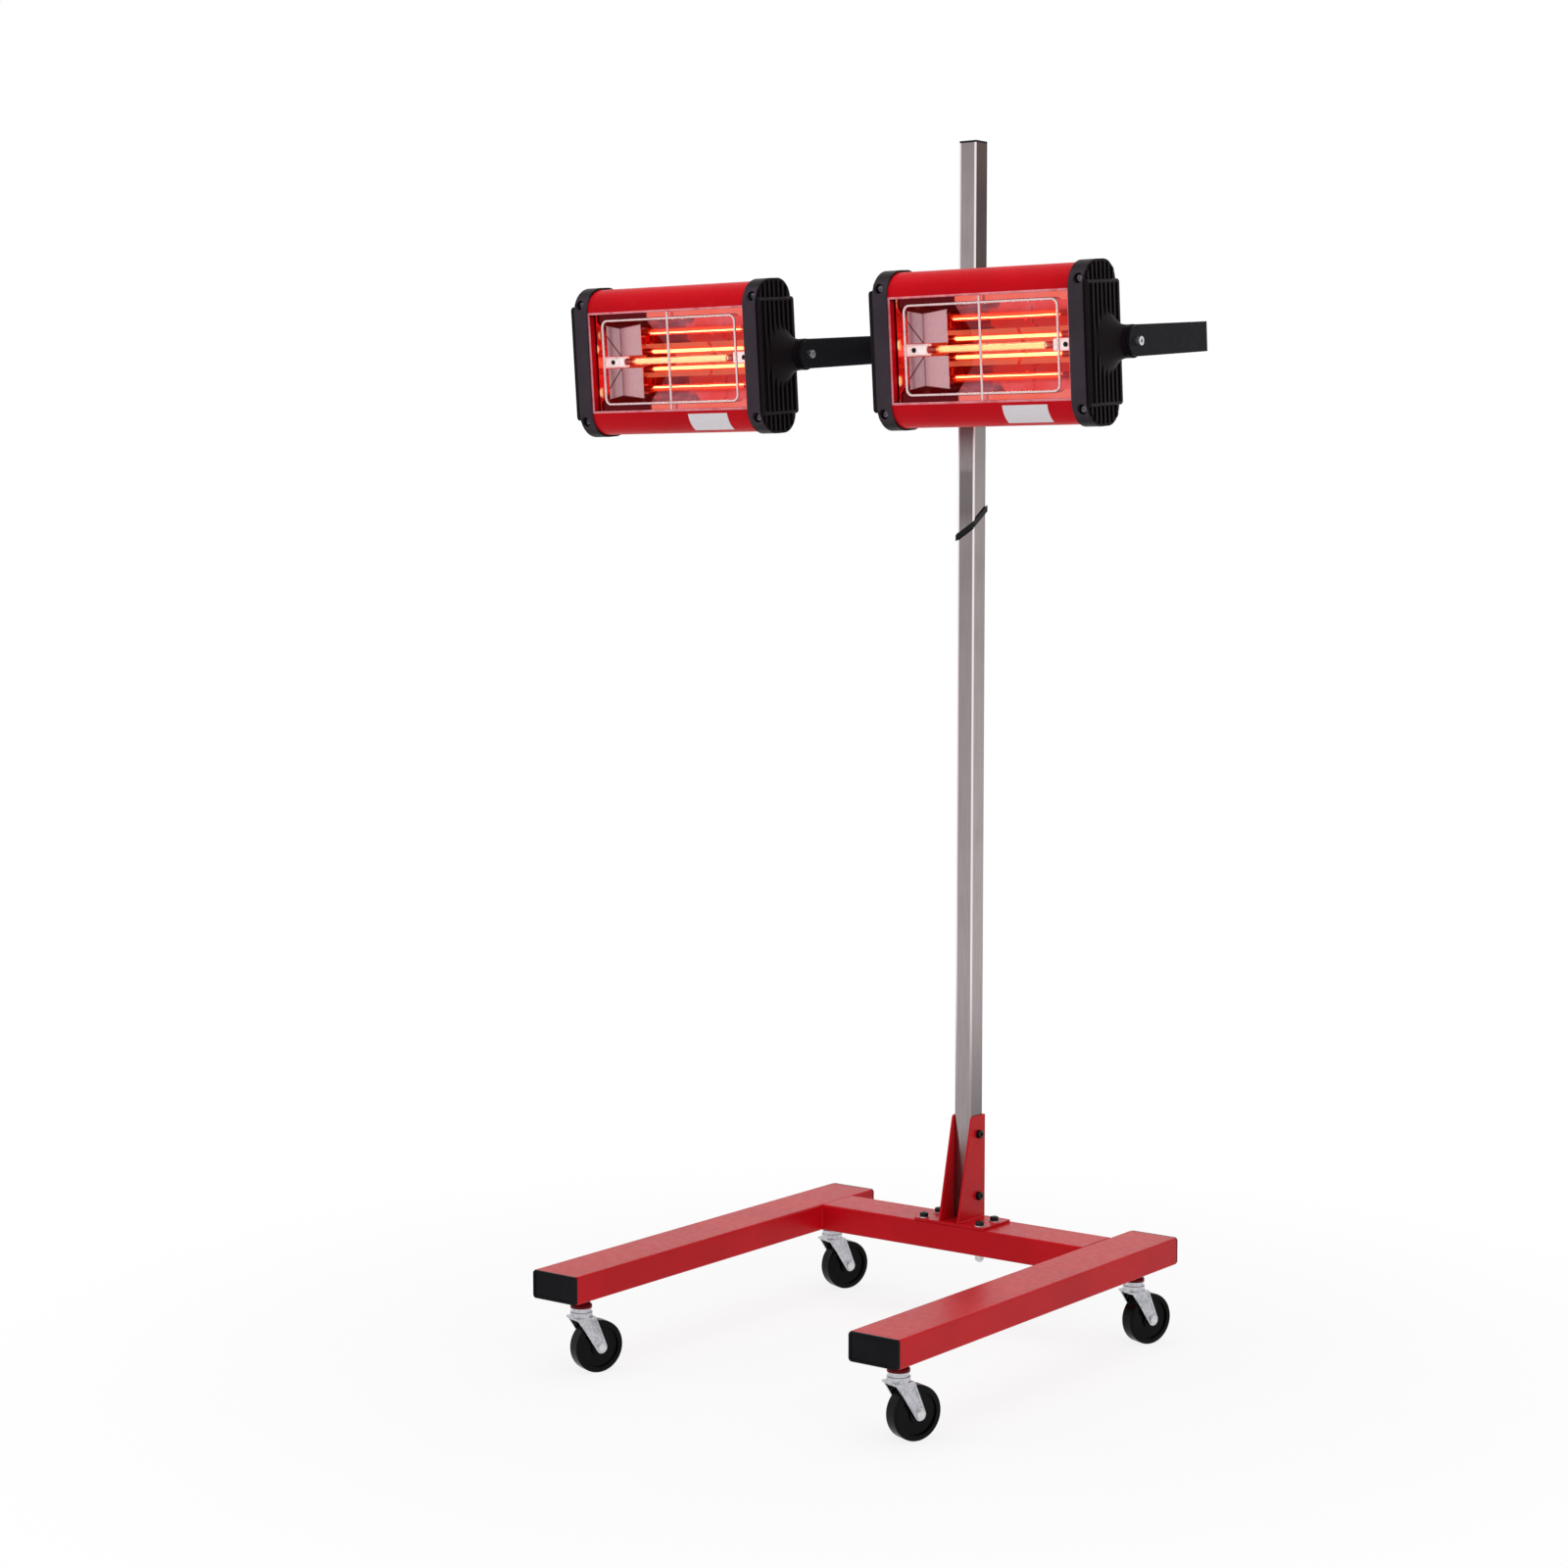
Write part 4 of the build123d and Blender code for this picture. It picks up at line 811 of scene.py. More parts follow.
@dataclass(frozen=True)
class GlowPaintedMirror:
    """Polished reflector with a satin shield at its left: its ruby colour, its dark rim and the haze to the
    right are painted glow, shade and reflection.
    """

    name: str
    axes: HeadAxes
    shield_outer: float = -124 * MM
    shield_crease: float = -102 * MM
    shield_inner: float = -60 * MM
    crease_depth: float = 23 * MM
    edge_depth: float = 18 * MM
    sheet_half: float = 0.5 * MM
    crease_half: float = 0.6 * MM
    line_half: float = 1.2 * MM
    line_rise: float = 8 * MM
    line_slope: float = 1.35
    plate_reach: float = 135 * MM
    plate_front: float = 12 * MM
    plate_fade: float = 10 * MM
    edge: float = 1 * MM
    haze_from: float = -42 * MM
    haze_half: float = 1.5 * MM
    rim_height: float = 46 * MM
    rim_half: float = 4 * MM
    heat: Clouds = Clouds(28.0, 3.0, 0.35, 0.7)
    rub: Clouds = Clouds(160.0, 4.0, 0.45, 0.75)
    streak: Clouds = Clouds(5.0, 4.0, 0.3, 0.7)
    ruby_shade: float = 0.78
    least_haze: float = 0.3
    even_haze: float = 0.5
    spots: float = 48.0
    spot_size: float = 0.22
    spot_edge: float = 0.2
    dents: Spots = (24.0, 2.0)
    fine_dents: Spots = (400.0, 1.0)
    fine_dent_share: float = 0.05
    relief: Relief = Relief(0.3 * MM, 0.5)
    roughness: float = 0.012
    rub_roughness: float = 0.02
    shield_roughness: float = 0.32
    shield_edge: float = 0.8 * MM
    satin_shade: float = 0.4
    streak_share: float = 0.25
    outer_share: float = 0.4
    dark_line_share: float = 0.85
    crease_share: float = 0.5
    # The ruby base colour paints the reflection of the tube's red glow; the heat clouds vary it.
    ruby: Colour = (0.7, 0.1, 0.045)
    # Painted shade on the reflector's outer rim, left of the haze and off the end plates.
    dark: Colour = (0.06, 0.006, 0.008)
    satin: Colour = (0.62, 0.36, 0.39)
    dark_line: Colour = (0.05, 0.012, 0.015)
    # Painted glow of the reflector: faint red in the trough, a brighter haze to the right.
    trough_glow: Colour = (0.04, 0.001, 0.001)
    haze_glow: Colour = (0.3, 0.1, 0.12)
    # Painted glow on the end plates, and painted glints near their front.
    plate_glow: Colour = (0.4, 0.008, 0.008)
    plate_dim_glow: Colour = (0.12, 0.003, 0.003)
    glint_colour: Colour = (1.0, 0.55, 0.25)
    satin_glow: Colour = (0.03, 0.006, 0.008)

    def material(self) -> bpy.types.Material:
        """Builds the reflector sheet.

        Returns:
            The material.
        """
        graph = ShaderGraph.named(self.name)
        across = self.axes.across(graph)
        back = self.axes.back(graph)
        height = self.axes.height(graph)
        shield = self.shield(graph, across, back)
        plate = graph.above(abs(across), self.plate_reach, self.edge)
        right = graph.above(across, self.haze_from - self.haze_half, 2 * self.haze_half)
        rim = graph.above(height, self.rim_height - self.rim_half, 2 * self.rim_half)
        heat = graph.clouds(self.heat)
        # Painted reflection of the red glow, varied by clouds.
        trough = graph.blend(heat, self.ruby, dimmed(self.ruby, self.ruby_shade))
        # Painted shade: the rim left of the haze turns dark.
        trough = graph.blend(rim * (1.0 - right) * (1.0 - plate), trough, self.dark)
        # Painted light: the reflector glows with a haze right of haze_from, stronger at the rim.
        haze = right * (self.least_haze + (1.0 - self.least_haze) * rim)
        haze = haze * (self.even_haze + (1.0 - self.even_haze) * heat)
        glow = graph.blend(haze, self.trough_glow, self.haze_glow)
        glow = graph.blend(plate, glow, graph.blend(heat, self.plate_glow, self.plate_dim_glow))
        # Painted glints in spots on the end plates near the window.
        hot = plate * graph.below(back, self.plate_front, self.plate_fade)
        spots = graph.below(graph.cells(self.spots), self.spot_size, self.spot_edge)
        glow = graph.blend(hot * spots, glow, self.glint_colour)
        dents = graph.noise(*self.dents) + self.fine_dent_share * graph.noise(*self.fine_dents)
        roughness = self.roughness + self.rub_roughness * graph.clouds(self.rub)
        return graph.finish({
            "Base Color": graph.blend(shield, trough, self.satin_sheet(graph, across, height)),
            "Metallic": 1.0,
            "Roughness": roughness + self.shield_roughness * shield,
            "Emission Color": graph.blend(shield, glow, self.satin_glow),
            "Emission Strength": 1.0,
            "Normal": graph.bump(dents, self.relief),
        })

    def shield(self, graph: ShaderGraph, across: Socket, back: Socket) -> Socket:
        """Mask of the creased shield.

        Args:
            graph: The material's nodes.
            across: Place along the tube, from the head's middle.
            back: Distance behind the window.

        Returns:
            1 on the shield, 0 off it.
        """
        drop = self.crease_depth - self.edge_depth
        outer_slope = drop / (self.shield_crease - self.shield_outer)
        inner_slope = drop / (self.shield_inner - self.shield_crease)
        run = across - self.shield_crease
        fall = (inner_slope - outer_slope) / 2 * run + (inner_slope + outer_slope) / 2 * abs(run)
        off_sheet = abs(back + fall - self.crease_depth - self.sheet_half)
        middle = (self.shield_outer + self.shield_inner) / 2
        half = (self.shield_inner - self.shield_outer) / 2
        within = graph.below(abs(across - middle), half + self.sheet_half, self.edge)
        return within * graph.below(off_sheet, 2 * self.sheet_half, self.shield_edge)

    def satin_sheet(self, graph: ShaderGraph, across: Socket, height: Socket) -> Socket:
        """Colour of the shield: painted light inside the crease, painted shade along and outside it, a dark
        diagonal line.

        Args:
            graph: The material's nodes.
            across: Place along the tube, from the head's middle.
            height: Distance above or below the tube.

        Returns:
            The colour.
        """
        streak = graph.clouds(self.streak, graph.drawn(Grain.Z))
        run = across - self.shield_crease
        # Painted shade on the outer part, away from the tube's light.
        outer = graph.below(run, -self.crease_half, 2 * self.crease_half)
        shade = self.streak_share * streak + self.outer_share * outer
        colour = graph.blend(shade, self.satin, dimmed(self.satin, self.satin_shade))
        # A dark diagonal line across the outer part.
        line = abs(height - self.line_rise + self.line_slope * run)
        dark_line = outer * graph.below(line, self.line_half, self.edge)
        # Painted shade along the crease.
        crease = graph.below(abs(run), self.crease_half, 2 * self.crease_half)
        marks = self.dark_line_share * dark_line + self.crease_share * crease
        return graph.blend(marks, colour, self.dark_line)


@dataclass(frozen=True)
class GlowingCoil:
    """White hot filament: its back throws the light to the mirror, its front is veiled by the quartz."""

    name: str
    axes: HeadAxes
    setback: float
    veiled: Colour
    thrown: Colour = (1.0, 1.0, 0.85)
    wire: Colour = (0.7, 0.6, 0.5)
    worn_wire: Colour = (0.5, 0.4, 0.3)
    strength: float = 16.0
    rear_from: float = 0.3 * MM
    rear_edge: float = 0.7 * MM
    drawn: Clouds = Clouds(400.0, 3.0, 0.3, 0.7)
    drawn_shade: float = 0.8
    roughness: float = 0.3
    drawn_roughness: float = 0.2
    relief: Relief = Relief(0.03 * MM, 0.4)

    def material(self) -> bpy.types.Material:
        """Builds the filament's glow.

        Returns:
            The material.
        """
        graph = ShaderGraph.named(self.name)
        rear = graph.above(self.axes.back(graph) - self.setback, self.rear_from, self.rear_edge)
        drawn = graph.clouds(self.drawn)
        veiled = graph.blend(drawn, dimmed(self.veiled, self.drawn_shade), self.veiled)
        return graph.finish({
            "Base Color": graph.blend(drawn, self.worn_wire, self.wire),
            "Metallic": 1.0,
            "Roughness": self.roughness + self.drawn_roughness * drawn,
            "Emission Color": graph.blend(rear, veiled, self.thrown),
            "Emission Strength": self.strength,
            "Normal": graph.bump(drawn, self.relief),
        })


@dataclass(frozen=True)
class ClearQuartz:
    """Quartz envelope: clear round the coil, dark ruby over its pinched seals, smoked at its very ends."""

    name: str
    axes: HeadAxes
    glow_half: float
    clear_edge: float = 3 * MM
    seal: float = 14 * MM
    seal_edge: float = 6 * MM
    clouding: Clouds = Clouds(300.0, 2.0, 0.3, 0.7)
    waves: Spots = (700.0, 2.0)
    relief: Relief = Relief(0.03 * MM, 0.4)
    roughness: float = 0.05
    cloud_roughness: float = 0.06
    seal_cover: float = 0.9
    clear_share: float = 0.65
    lit: Colour = (0.8, 0.2, 0.12)
    ruby: Colour = (0.3, 0.008, 0.01)
    pale_ruby: Colour = (0.42, 0.014, 0.016)
    smoke: Colour = (0.42, 0.3, 0.28)
    pale_smoke: Colour = (0.6, 0.5, 0.48)
    hot: Colour = (0.8, 0.14, 0.03)
    seal_glow: Colour = (0.1, 0.001, 0.001)
    end_glow: Colour = (0.02, 0.0, 0.0)

    def material(self) -> bpy.types.Material:
        """Builds the envelope.

        Returns:
            The material.
        """
        graph = ShaderGraph.named(self.name)
        reach = abs(self.axes.across(graph))
        clear = graph.below(reach, self.glow_half, self.clear_edge)
        smoked = graph.above(reach, self.glow_half + self.seal, self.seal_edge)
        cloud = graph.clouds(self.clouding)
        smoke = graph.blend(cloud, self.smoke, self.pale_smoke)
        ruby = graph.blend(cloud, self.ruby, self.pale_ruby)
        glow = graph.blend(clear, self.seal_glow, self.hot)
        return graph.finish({
            "Base Color": graph.blend(clear, graph.blend(smoked, ruby, smoke), self.lit),
            "Roughness": self.roughness + self.cloud_roughness * cloud,
            "Alpha": self.seal_cover - self.clear_share * clear,
            "Emission Color": graph.blend(smoked, glow, self.end_glow),
            "Emission Strength": 1.0,
            "Normal": graph.bump(graph.noise(*self.waves), self.relief),
        })


@dataclass(frozen=True)
class FiredCeramic:
    """Unglazed white ceramic, lit by the tube beside it, with pores and scorched spots."""

    name: str
    colour: Colour = (0.92, 0.87, 0.86)
    scorched: Colour = (0.66, 0.48, 0.44)
    lit: Colour = (0.4, 0.3, 0.3)
    lit_scorched: Colour = (0.2, 0.09, 0.09)
    scorch: Clouds = Clouds(110.0, 4.0, 0.5, 0.8)
    scorch_share: float = 0.6
    pores: Spots = (1300.0, 4.0)
    open_pores: tuple = (0.3, 0.7)
    roughness: float = 0.62
    pore_roughness: float = 0.15
    relief: Relief = Relief(0.1 * MM, 0.6)

    def material(self) -> bpy.types.Material:
        """Builds the ceramic.

        Returns:
            The material.
        """
        graph = ShaderGraph.named(self.name)
        scorch = graph.clouds(self.scorch)
        pores = graph.noise(*self.pores)
        return graph.finish({
            "Base Color": graph.blend(self.scorch_share * scorch, self.colour, self.scorched),
            "Roughness": self.roughness + self.pore_roughness * graph.span(pores, *self.open_pores),
            "Emission Color": graph.blend(scorch, self.lit, self.lit_scorched),
            "Emission Strength": 1.0,
            "Normal": graph.bump(pores, self.relief),
        })


@dataclass(frozen=True)
class BlankFoil:
    """Blank silvery sticker with faint rolling lines and a soft sheen."""

    name: str
    colour: Colour = (0.78, 0.74, 0.77)
    line_shade: float = 0.93
    rolled: Spots = (9.0, 3.0)
    line_edge: tuple = (0.3, 0.7)
    metallic: float = 0.15
    roughness: float = 0.36
    line_roughness: float = 0.1
    relief: Relief = Relief(0.03 * MM, 0.4)

    def material(self) -> bpy.types.Material:
        """Builds the sticker's face.

        Returns:
            The material.
        """
        graph = ShaderGraph.named(self.name)
        noise = graph.noise(*self.rolled, graph.drawn(Grain.X))
        lines = graph.span(noise, *self.line_edge)
        return graph.finish({
            "Base Color": graph.blend(lines, self.colour, dimmed(self.colour, self.line_shade)),
            "Metallic": self.metallic,
            "Roughness": self.roughness + self.line_roughness * lines,
            "Normal": graph.bump(noise, self.relief),
        })


@dataclass(frozen=True)
class StudioPaper:
    """White paper of the floor: it keeps the lamp's soft shadow and turns to plain white further out."""

    name: str
    near: float = 0.5
    far: float = 1.5
    near_white: float = 0.84
    fibre: Clouds = Clouds(3.0, 3.0, 0.3, 0.7)
    pulp: Colour = (0.93, 0.93, 0.93)
    pale_pulp: Colour = (0.95, 0.95, 0.95)

    def material(self) -> bpy.types.Material:
        """Builds the paper.

        Returns:
            The material.
        """
        graph = ShaderGraph.named(self.name)
        paper = graph.blend(graph.clouds(self.fibre), self.pulp, self.pale_pulp)
        diffuse = graph.add("ShaderNodeBsdfDiffuse", sockets={"Color": paper})
        seen = graph.add("ShaderNodeLightPath", output="Is Camera Ray")
        glossy = graph.add("ShaderNodeLightPath", output="Is Glossy Ray")
        through = graph.add("ShaderNodeLightPath", output="Is Transmission Ray")
        distance = graph.add("ShaderNodeVectorMath", {"operation": "LENGTH"}, {0: graph.place()}, output=1)
        white = (seen + glossy + through) * graph.span(distance, self.near, self.far, self.near_white, 1.0)
        light = graph.add("ShaderNodeEmission", sockets={"Color": WHITE, "Strength": 1.0})
        return graph.close(graph.add("ShaderNodeMixShader", sockets={0: white, 1: diffuse, 2: light}))


class Shared(Enum):
    """Finishes that several pieces or both heads share."""

    RED = Enamel("red_enamel", (0.58, 0.004, 0.01), (0.58, 0.05, 0.06), roughness=0.28, gloss=0.13)
    SOCKET = Enamel("socket_enamel", (0.13, 0.004, 0.008), (0.2, 0.03, 0.035), roughness=0.35, gloss=0.1)
    BLACK_COAT = Enamel(
        "black_coat", (0.007, 0.006, 0.009), (0.03, 0.027, 0.033),
        roughness=0.4, gloss=0.05, peel=700.0, peel_relief=Relief(0.12 * MM, 0.6),
    )
    OXIDE = Enamel(
        "black_oxide", (0.007, 0.007, 0.009), (0.04, 0.036, 0.036),
        roughness=0.3, gloss=0.15, peel=1500.0, peel_relief=Relief(0.04 * MM, 0.6),
    )
    PLUG = Moulding("tube_plug", (0.005, 0.005, 0.007), (0.012, 0.012, 0.016), roughness=0.36, gloss=0.07)
    KNOB = Moulding("knob_plastic", (0.008, 0.008, 0.01), (0.04, 0.04, 0.045), roughness=0.42)
    STRAP = Moulding("strap_nylon", (0.004, 0.004, 0.005), (0.02, 0.02, 0.022), roughness=0.36, gloss=0.15)
    WHEEL = Moulding(
        "wheel_plastic", (0.002, 0.002, 0.002), (0.008, 0.008, 0.009),
        roughness=0.2, gloss=0.08, grain=700.0, relief=Relief(0.03 * MM, 0.5),
    )
    ROCKER = Moulding(
        "rocker_plastic", (0.42, 0.012, 0.014), (0.5, 0.05, 0.05),
        roughness=0.22, gloss=0.3, grain=900.0, relief=Relief(0.02 * MM, 0.5),
    )
    POST = PostSteel("stainless_post", *corners("post"), centre("post_band").z)
    PLATE_BOLTS = BlackedBolts("plate_bolts", corners("bracket_plate")[1].z + PLATE_WASHER)
    ZINC = Plated("zinc", (0.6, 0.6, 0.63), (0.36, 0.37, 0.4), roughness=0.22)
    BOLT = Plated("bright_bolt", (0.74, 0.73, 0.74), (0.5, 0.5, 0.52), roughness=0.2)
    SCREW = Plated("dark_screw", (0.16, 0.15, 0.17), (0.07, 0.07, 0.08), roughness=0.2)
    # The guard wire's pink tint is a painted reflection of the red glow and housing.
    GUARD = Plated("guard_wire", (0.82, 0.64, 0.64), (0.66, 0.48, 0.48), roughness=0.18)
    CERAMIC = FiredCeramic("ceramic")
    FOIL = BlankFoil("blank_foil")

    def material(self) -> bpy.types.Material:
        """Builds the finish's material."""
        return self.value.material()


class Workshop:
    """The materials made so far and the calls that put pieces on the lamp."""

    sharp_angle = math.radians(38.0)

    def __init__(self) -> None:
        """Starts with no material made."""
        self.made: dict[str, bpy.types.Material] = {}

    def material(self, finish: Finish) -> bpy.types.Material:
        """Makes a finish once and keeps it.

        Args:
            finish: The finish.

        Returns:
            Its material.
        """
        if finish.name not in self.made:
            self.made[finish.name] = finish.material()
        return self.made[finish.name]

    def dress(self, node: str, finish: Finish) -> None:
        """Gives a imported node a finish.

        Args:
            node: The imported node.
            finish: The finish.
        """
        mesh_object = frame["nodes"][node]
        material = self.material(finish)
        if not mesh_object.material_slots:
            mesh_object.data.materials.append(material)
        for slot in mesh_object.material_slots:
            slot.material = material
        LOG.info("%s: %s", node, finish.name)

    def piece(
        self, name: str, shape: bmesh.types.BMesh, finish: Finish, body: str, slot: str
    ) -> bpy.types.Object:
        """Makes a piece of a mesh and sets it on a body.

        Args:
            name: The piece's name.
            shape: Its mesh, freed here.
            finish: Its finish.
            body: The body that it moves with.
            slot: Not used.

        Returns:
            The piece.
        """
        bmesh.ops.recalc_face_normals(shape, faces=shape.faces)
        item = placed(name, shape)
        for polygon in item.data.polygons:
            polygon.use_smooth = True
        item.data.set_sharp_from_angle(angle=self.sharp_angle)
        item.data.materials.append(self.material(finish))
        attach(item, body)
        LOG.info("%s: %d faces on %s", name, len(item.data.polygons), body)
        return item


def placed(name: str, shape: bmesh.types.BMesh) -> bpy.types.Object:
    """Puts a mesh into the scene.

    Args:
        name: The new object's name.
        shape: Its mesh, freed here.

    Returns:
        The object.
    """
    mesh = bpy.data.meshes.new(name)
    shape.to_mesh(mesh)
    shape.free()
    item = bpy.data.objects.new(name, mesh)
    bpy.context.scene.collection.objects.link(item)
    return item


def joint_named(name: str) -> dict:
    """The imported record's entry of a joint."""
    return next(joint for joint in frame["joints"] if joint["name"] == name)


def lathe(shape: bmesh.types.BMesh, profile: Sequence, at: Matrix, steps: int = 48) -> None:
    """Turns a profile round the local Z axis into a closed skin.

    Args:
        shape: The mesh that it is added to.
        profile: Pairs of radius and height; a radius of 0 closes an end.
        at: Where the local axis goes.
        steps: Parts of the turn.
    """
    rings = []
    for radius, height in profile:
        ring = []
        for step in range(steps if radius else 1):
            angle = 2 * math.pi * step / steps
            point = Vector((radius * math.cos(angle), radius * math.sin(angle), height))
            ring.append(shape.verts.new(at @ point))
        rings.append(ring)
    for lower, upper in zip(rings, rings[1:]):
        for step in range(steps):
            after = (step + 1) % steps
            facet = [lower[step % len(lower)], lower[after % len(lower)]]
            facet += [upper[after % len(upper)], upper[step % len(upper)]]
            unique = list(dict.fromkeys(facet))
            if len(unique) > 2:
                shape.faces.new(unique)


def sweep(
    shape: bmesh.types.BMesh, path: list[Vector], radii: list[float], up: Vector, sides: int = 10
) -> None:
    """Runs a round section along a path and closes its ends.

    Args:
        shape: The mesh that it is added to.
        path: The points of its centre line.
        radii: Its radius at each point.
        up: A direction that the path never runs in.
        sides: Sides of the section.
    """
    rings = []
    turns = [2 * math.pi * side / sides for side in range(sides)]
    for index, (point, radius) in enumerate(zip(path, radii)):
        ahead = path[min(index + 1, len(path) - 1)] - path[max(index - 1, 0)]
        across = ahead.cross(up).normalized()
        over = across.cross(ahead).normalized()
        spokes = [math.cos(turn) * across + math.sin(turn) * over for turn in turns]
        rings.append([shape.verts.new(point + radius * spoke) for spoke in spokes])
    for lower, upper in zip(rings, rings[1:]):
        for side in range(sides):
            after = (side + 1) % sides
            shape.faces.new((lower[side], lower[after], upper[after], upper[side]))
    shape.faces.new(rings[0])
    shape.faces.new(rings[-1][::-1])


@dataclass
class Stand:
    """Base, bracket and post: what stays put."""

    shop: Workshop
    bead_radius: float = 1.9 * MM
    bead_step: float = 1.4 * MM
    ripple: float = 0.16
    ripple_turn: float = 2.1
    waver: float = 0.06
    waver_turn: float = 0.77
    waver_start: float = 900.0
    fade_steps: int = 3
    end_share: float = 0.45
    leg_gap: float = 4 * MM
    leg_sink: float = 0.4
    cheek_gap: float = 3 * MM
    cheek_sink: float = 0.25
    dresses: dict[str, Finish] = field(default_factory=lambda: {
        "left_leg": Shared.RED,
        "right_leg": Shared.RED,
        "crossbar": Shared.RED,
        "leg_end_caps": Shared.PLUG,
        "caster_sockets": Shared.SOCKET,
        "caster_kingpins": Shared.ZINC,
        "bracket_plate": Shared.RED,
        "post_bracket": Shared.RED,
        "plate_bolts": Shared.PLATE_BOLTS,
        "post_bolts": Shared.OXIDE,
        "post": Shared.POST,
        "post_cap": Shared.PLUG,
        "post_band": Shared.STRAP,
    })

    def build(self) -> None:
        """Dresses the nodes and adds the welds."""
        for node, finish in self.dresses.items():
            self.shop.dress(node, finish)
        self.crossbar_welds()
        self.bracket_welds()

    def bead(self, shape: bmesh.types.BMesh, start: Vector, end: Vector, up: Vector) -> None:
        """Lays one rippled weld bead between two points.

        Args:
            shape: The mesh that it is added to.
            start: Its first point.
            end: Its last point.
            up: A direction across it.
        """
        count = max(int((end - start).length / self.bead_step), 4)
        path = [start.lerp(end, index / count) for index in range(count + 1)]
        radii = []
        for index in range(count + 1):
            ripple = self.ripple * math.sin(index * self.ripple_turn)
            ripple += self.waver * math.sin(index * self.waver_turn + start.x * self.waver_start)
            fade = min(index, count - index) / self.fade_steps
            full = min(self.end_share + (1.0 - self.end_share) * fade, 1.0)
            radii.append(self.bead_radius * (1.0 + ripple) * full)
        sweep(shape, path, radii, up)

    def crossbar_welds(self) -> None:
        """Adds the upright beads where the crossbar meets the legs."""
        low, high = corners("crossbar")
        shape = bmesh.new()
        inset = self.bead_radius * self.leg_sink
        for x in (low.x, high.x):
            for y in (low.y - inset, high.y + inset):
                start = Vector((x, y, low.z + self.leg_gap))
                self.bead(shape, start, Vector((x, y, high.z - self.leg_gap)), Vector((0, 1, 0)))
        self.shop.piece("crossbar_welds", shape, Shared.RED, "stand", "red_enamel")

    def bracket_welds(self) -> None:
        """Adds the beads along the foot of the bracket's cheeks."""
        low, high = corners("post_bracket")
        shape = bmesh.new()
        z = low.z + self.bead_radius * self.cheek_sink
        for x in (low.x, high.x):
            start = Vector((x, low.y + self.cheek_gap, z))
            self.bead(shape, start, Vector((x, high.y - self.cheek_gap, z)), Vector((0, 0, 1)))
        self.shop.piece("bracket_welds", shape, Shared.RED, "stand", "red_enamel")


@dataclass
class Casters:
    """The four swivel casters."""

    shop: Workshop

    def build(self) -> None:
        """Dresses each caster."""
        for corner in CORNERS:
            self.shop.dress(f"fork_{corner}", Shared.ZINC)
            self.shop.dress(f"axle_{corner}", Shared.BOLT)
            self.shop.dress(f"wheel_{corner}", Shared.WHEEL)


@dataclass
class Carriage:
    """Sleeve, knobs and cross arm behind the heads."""

    shop: Workshop

    def build(self) -> None:
        """Dresses the carriage and the cross arm."""
        self.shop.dress("carriage_sleeve", Shared.BLACK_COAT)
        self.shop.dress("sleeve_liners", Shared.PLUG)
        self.shop.dress("lock_knob", Shared.KNOB)
        self.shop.dress("cross_arm", Shared.BLACK_COAT)
        self.shop.dress("arm_end_caps", Shared.PLUG)
        self.shop.dress("hinge_pin", Shared.ZINC)
        self.shop.dress("tilt_knob", Shared.KNOB)


